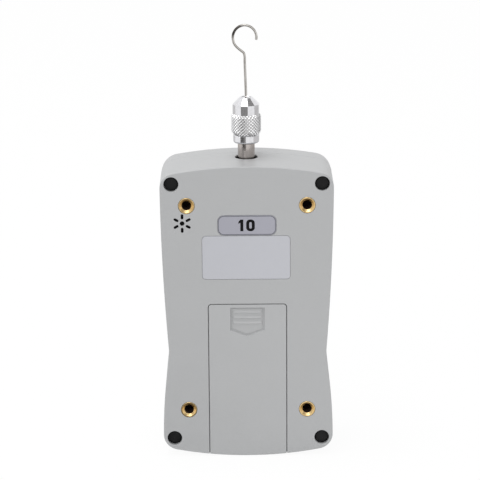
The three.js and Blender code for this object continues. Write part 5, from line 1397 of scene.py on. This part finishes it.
for node, side, seat, end in (
    ("battery_spring_negative", -1, tray_low.z + spring_inset, cell_low.z - spring_press),
    ("battery_spring_bridge", 1, tray_high.z - spring_inset, cell_high.z + spring_press),
):
    coil = []
    for i in range(spring_steps + 1):
        share = i / spring_steps
        radius = spring_foot + (spring_top - spring_foot) * share
        turn = share * spring_turns * 2 * math.pi
        coil.append((side * abs(cell_middle.x) + radius * math.cos(turn),
                     cell_middle.y + radius * math.sin(turn), seat + (end - seat) * share))
    spring = sweep(node + "_coil", coil, spring_radius, spring_wire)
    finish(spring, spring_wire, [node], angle=50)

# Studio: a plain pale floor, two soft lights, cloth cards beside the object for its polished metal to
# reflect, and the camera at the photograph's angle.
def seen_straight(tree):
    """1 for rays from the camera, a reflection or a refraction, else 0."""
    path = put(tree, "ShaderNodeLightPath")
    straight = path["Is Camera Ray"].math("MAXIMUM", path["Is Glossy Ray"])
    return straight.math("MAXIMUM", path["Is Transmission Ray"])


def floor_paint():
    """Pale floor that the camera and reflections see as white, and that keeps the object's shadow."""
    material = bpy.data.materials.new("studio_floor")
    material.use_nodes = True
    tree = material.node_tree
    main = tree.nodes["Principled BSDF"]
    main.inputs["Base Color"].default_value = rgb(250, 250, 250)
    main.inputs["Roughness"].default_value = 0.9
    glow = put(tree, "ShaderNodeEmission", {"Color": (1, 1, 1, 1), "Strength": 1.0})
    mix = put(tree, "ShaderNodeMixShader", {0: seen_straight(tree) * 0.94, 1: Wire(main), 2: glow})
    mix.join(tree.nodes["Material Output"], "Surface")
    return material


floor_half, floor_z = 20000, -0.02
studio_floor = as_object("studio_floor", [
    (x * floor_half, y * floor_half, floor_z) for x, y in ((-1, -1), (1, -1), (1, 1), (-1, 1))
], [(0, 1, 2, 3)])
studio_floor.data.materials.append(floor_paint())


def cloth(name, tone):
    """Dyed cloth for a card beside the object."""
    return surface(name, moulded_grain, rgb(tone, tone - 1, tone - 2), 0.9, Grain_mm=4.0, Depth_mm=0.5,
                   Mottle=0.2)


def card(name, corners, material):
    """Card beside the object; only reflections see it."""
    made = as_object(name, corners, [(0, 1, 2, 3)])
    made.data.materials.append(material)
    made.visible_camera = made.visible_diffuse = made.visible_shadow = False
    return made


def sector(name, first, last, near, far, material, height=1.0):
    """Card on the floor between two bearings from the axis, in degrees to the right of the camera."""
    corners = [(reach * math.sin(math.radians(turn)), -reach * math.cos(math.radians(turn)), height)
               for reach, turn in ((near, first), (near, last), (far, last), (far, first))]
    return card(name, corners, material)


dark_cloth, mid_cloth = cloth("dark_cloth", 74), cloth("mid_cloth", 124)
grey_cloth, pale_cloth = cloth("grey_cloth", 140), cloth("pale_cloth", 208)
cards = [
    sector("front_card", -52, -21, 40, 2600, dark_cloth),
    sector("front_card_mid", -21, -4, 40, 2600, mid_cloth),
    sector("right_card", 66, 112, 60, 1800, pale_cloth),
    sector("left_card", -150, -112, 60, 1800, pale_cloth),
    sector("rear_card", 112, 150, 60, 1800, pale_cloth),
    card("upper_card", [(350, -350, 1050), (420, 350, 950), (900, 350, 500), (900, -450, 500)], grey_cloth),
    card("side_card", [(-1100, -500, 60), (-560, -1050, 60), (-560, -1050, 950), (-1100, -500, 950)],
         dark_cloth),
]

world = bpy.data.worlds.new("studio_air")
bpy.context.scene.world = world
world.use_nodes = True
tree = world.node_tree
tree.nodes.clear()
air = put(tree, "ShaderNodeBackground", {"Color": (1, 1, 1, 1), "Strength": 0.72})
white = put(tree, "ShaderNodeBackground", {"Color": (1, 1, 1, 1), "Strength": 1.0})
put(tree, "ShaderNodeOutputWorld", {
    "Surface": put(tree, "ShaderNodeMixShader", {0: seen_straight(tree), 1: air, 2: white}),
})


def soft_light(name, place, aim, size, power):
    lamp = bpy.data.lights.new(name, "AREA")
    lamp.shape, lamp.size, lamp.energy = "SQUARE", size, power
    made = bpy.data.objects.new(name, lamp)
    bpy.context.scene.collection.objects.link(made)
    made.location = Vector(place)
    made.rotation_euler = (Vector(aim) - Vector(place)).to_track_quat("-Z", "Y").to_euler()
    return made


soft_light("overhead_light", (-0.35, -0.12, 1.7), (0, 0, 0.08), 1.1, 11.9)
soft_light("front_light", (-0.7, -1.5, 1.0), (0, 0, 0.1), 1.0, 4.3)

# Camera: 16 degrees above the horizon, about a metre away, with the slight tilt of the photograph
elevation, tilt, distance = math.radians(16), math.radians(-0.429), 1.0034
aim = Vector((-3.025, 0, 93.92)) * MM
focal_pixels, picture_pixels = 2279.5, 480
lens = bpy.data.cameras.new("camera")
lens.sensor_width, lens.lens = 36.0, focal_pixels * 36 / picture_pixels
lens.clip_start, lens.clip_end = 0.01, 100.0
camera = bpy.data.objects.new("camera", lens)
bpy.context.scene.collection.objects.link(camera)
camera.location = aim + Vector((0, -math.cos(elevation), math.sin(elevation))) * distance
level = (aim - camera.location).to_track_quat("-Z", "Y").to_matrix()
camera.rotation_euler = (level @ Matrix.Rotation(tilt, 3, "Z")).to_euler()
bpy.context.scene.camera = camera
bpy.context.scene.view_settings.view_transform = "Standard"
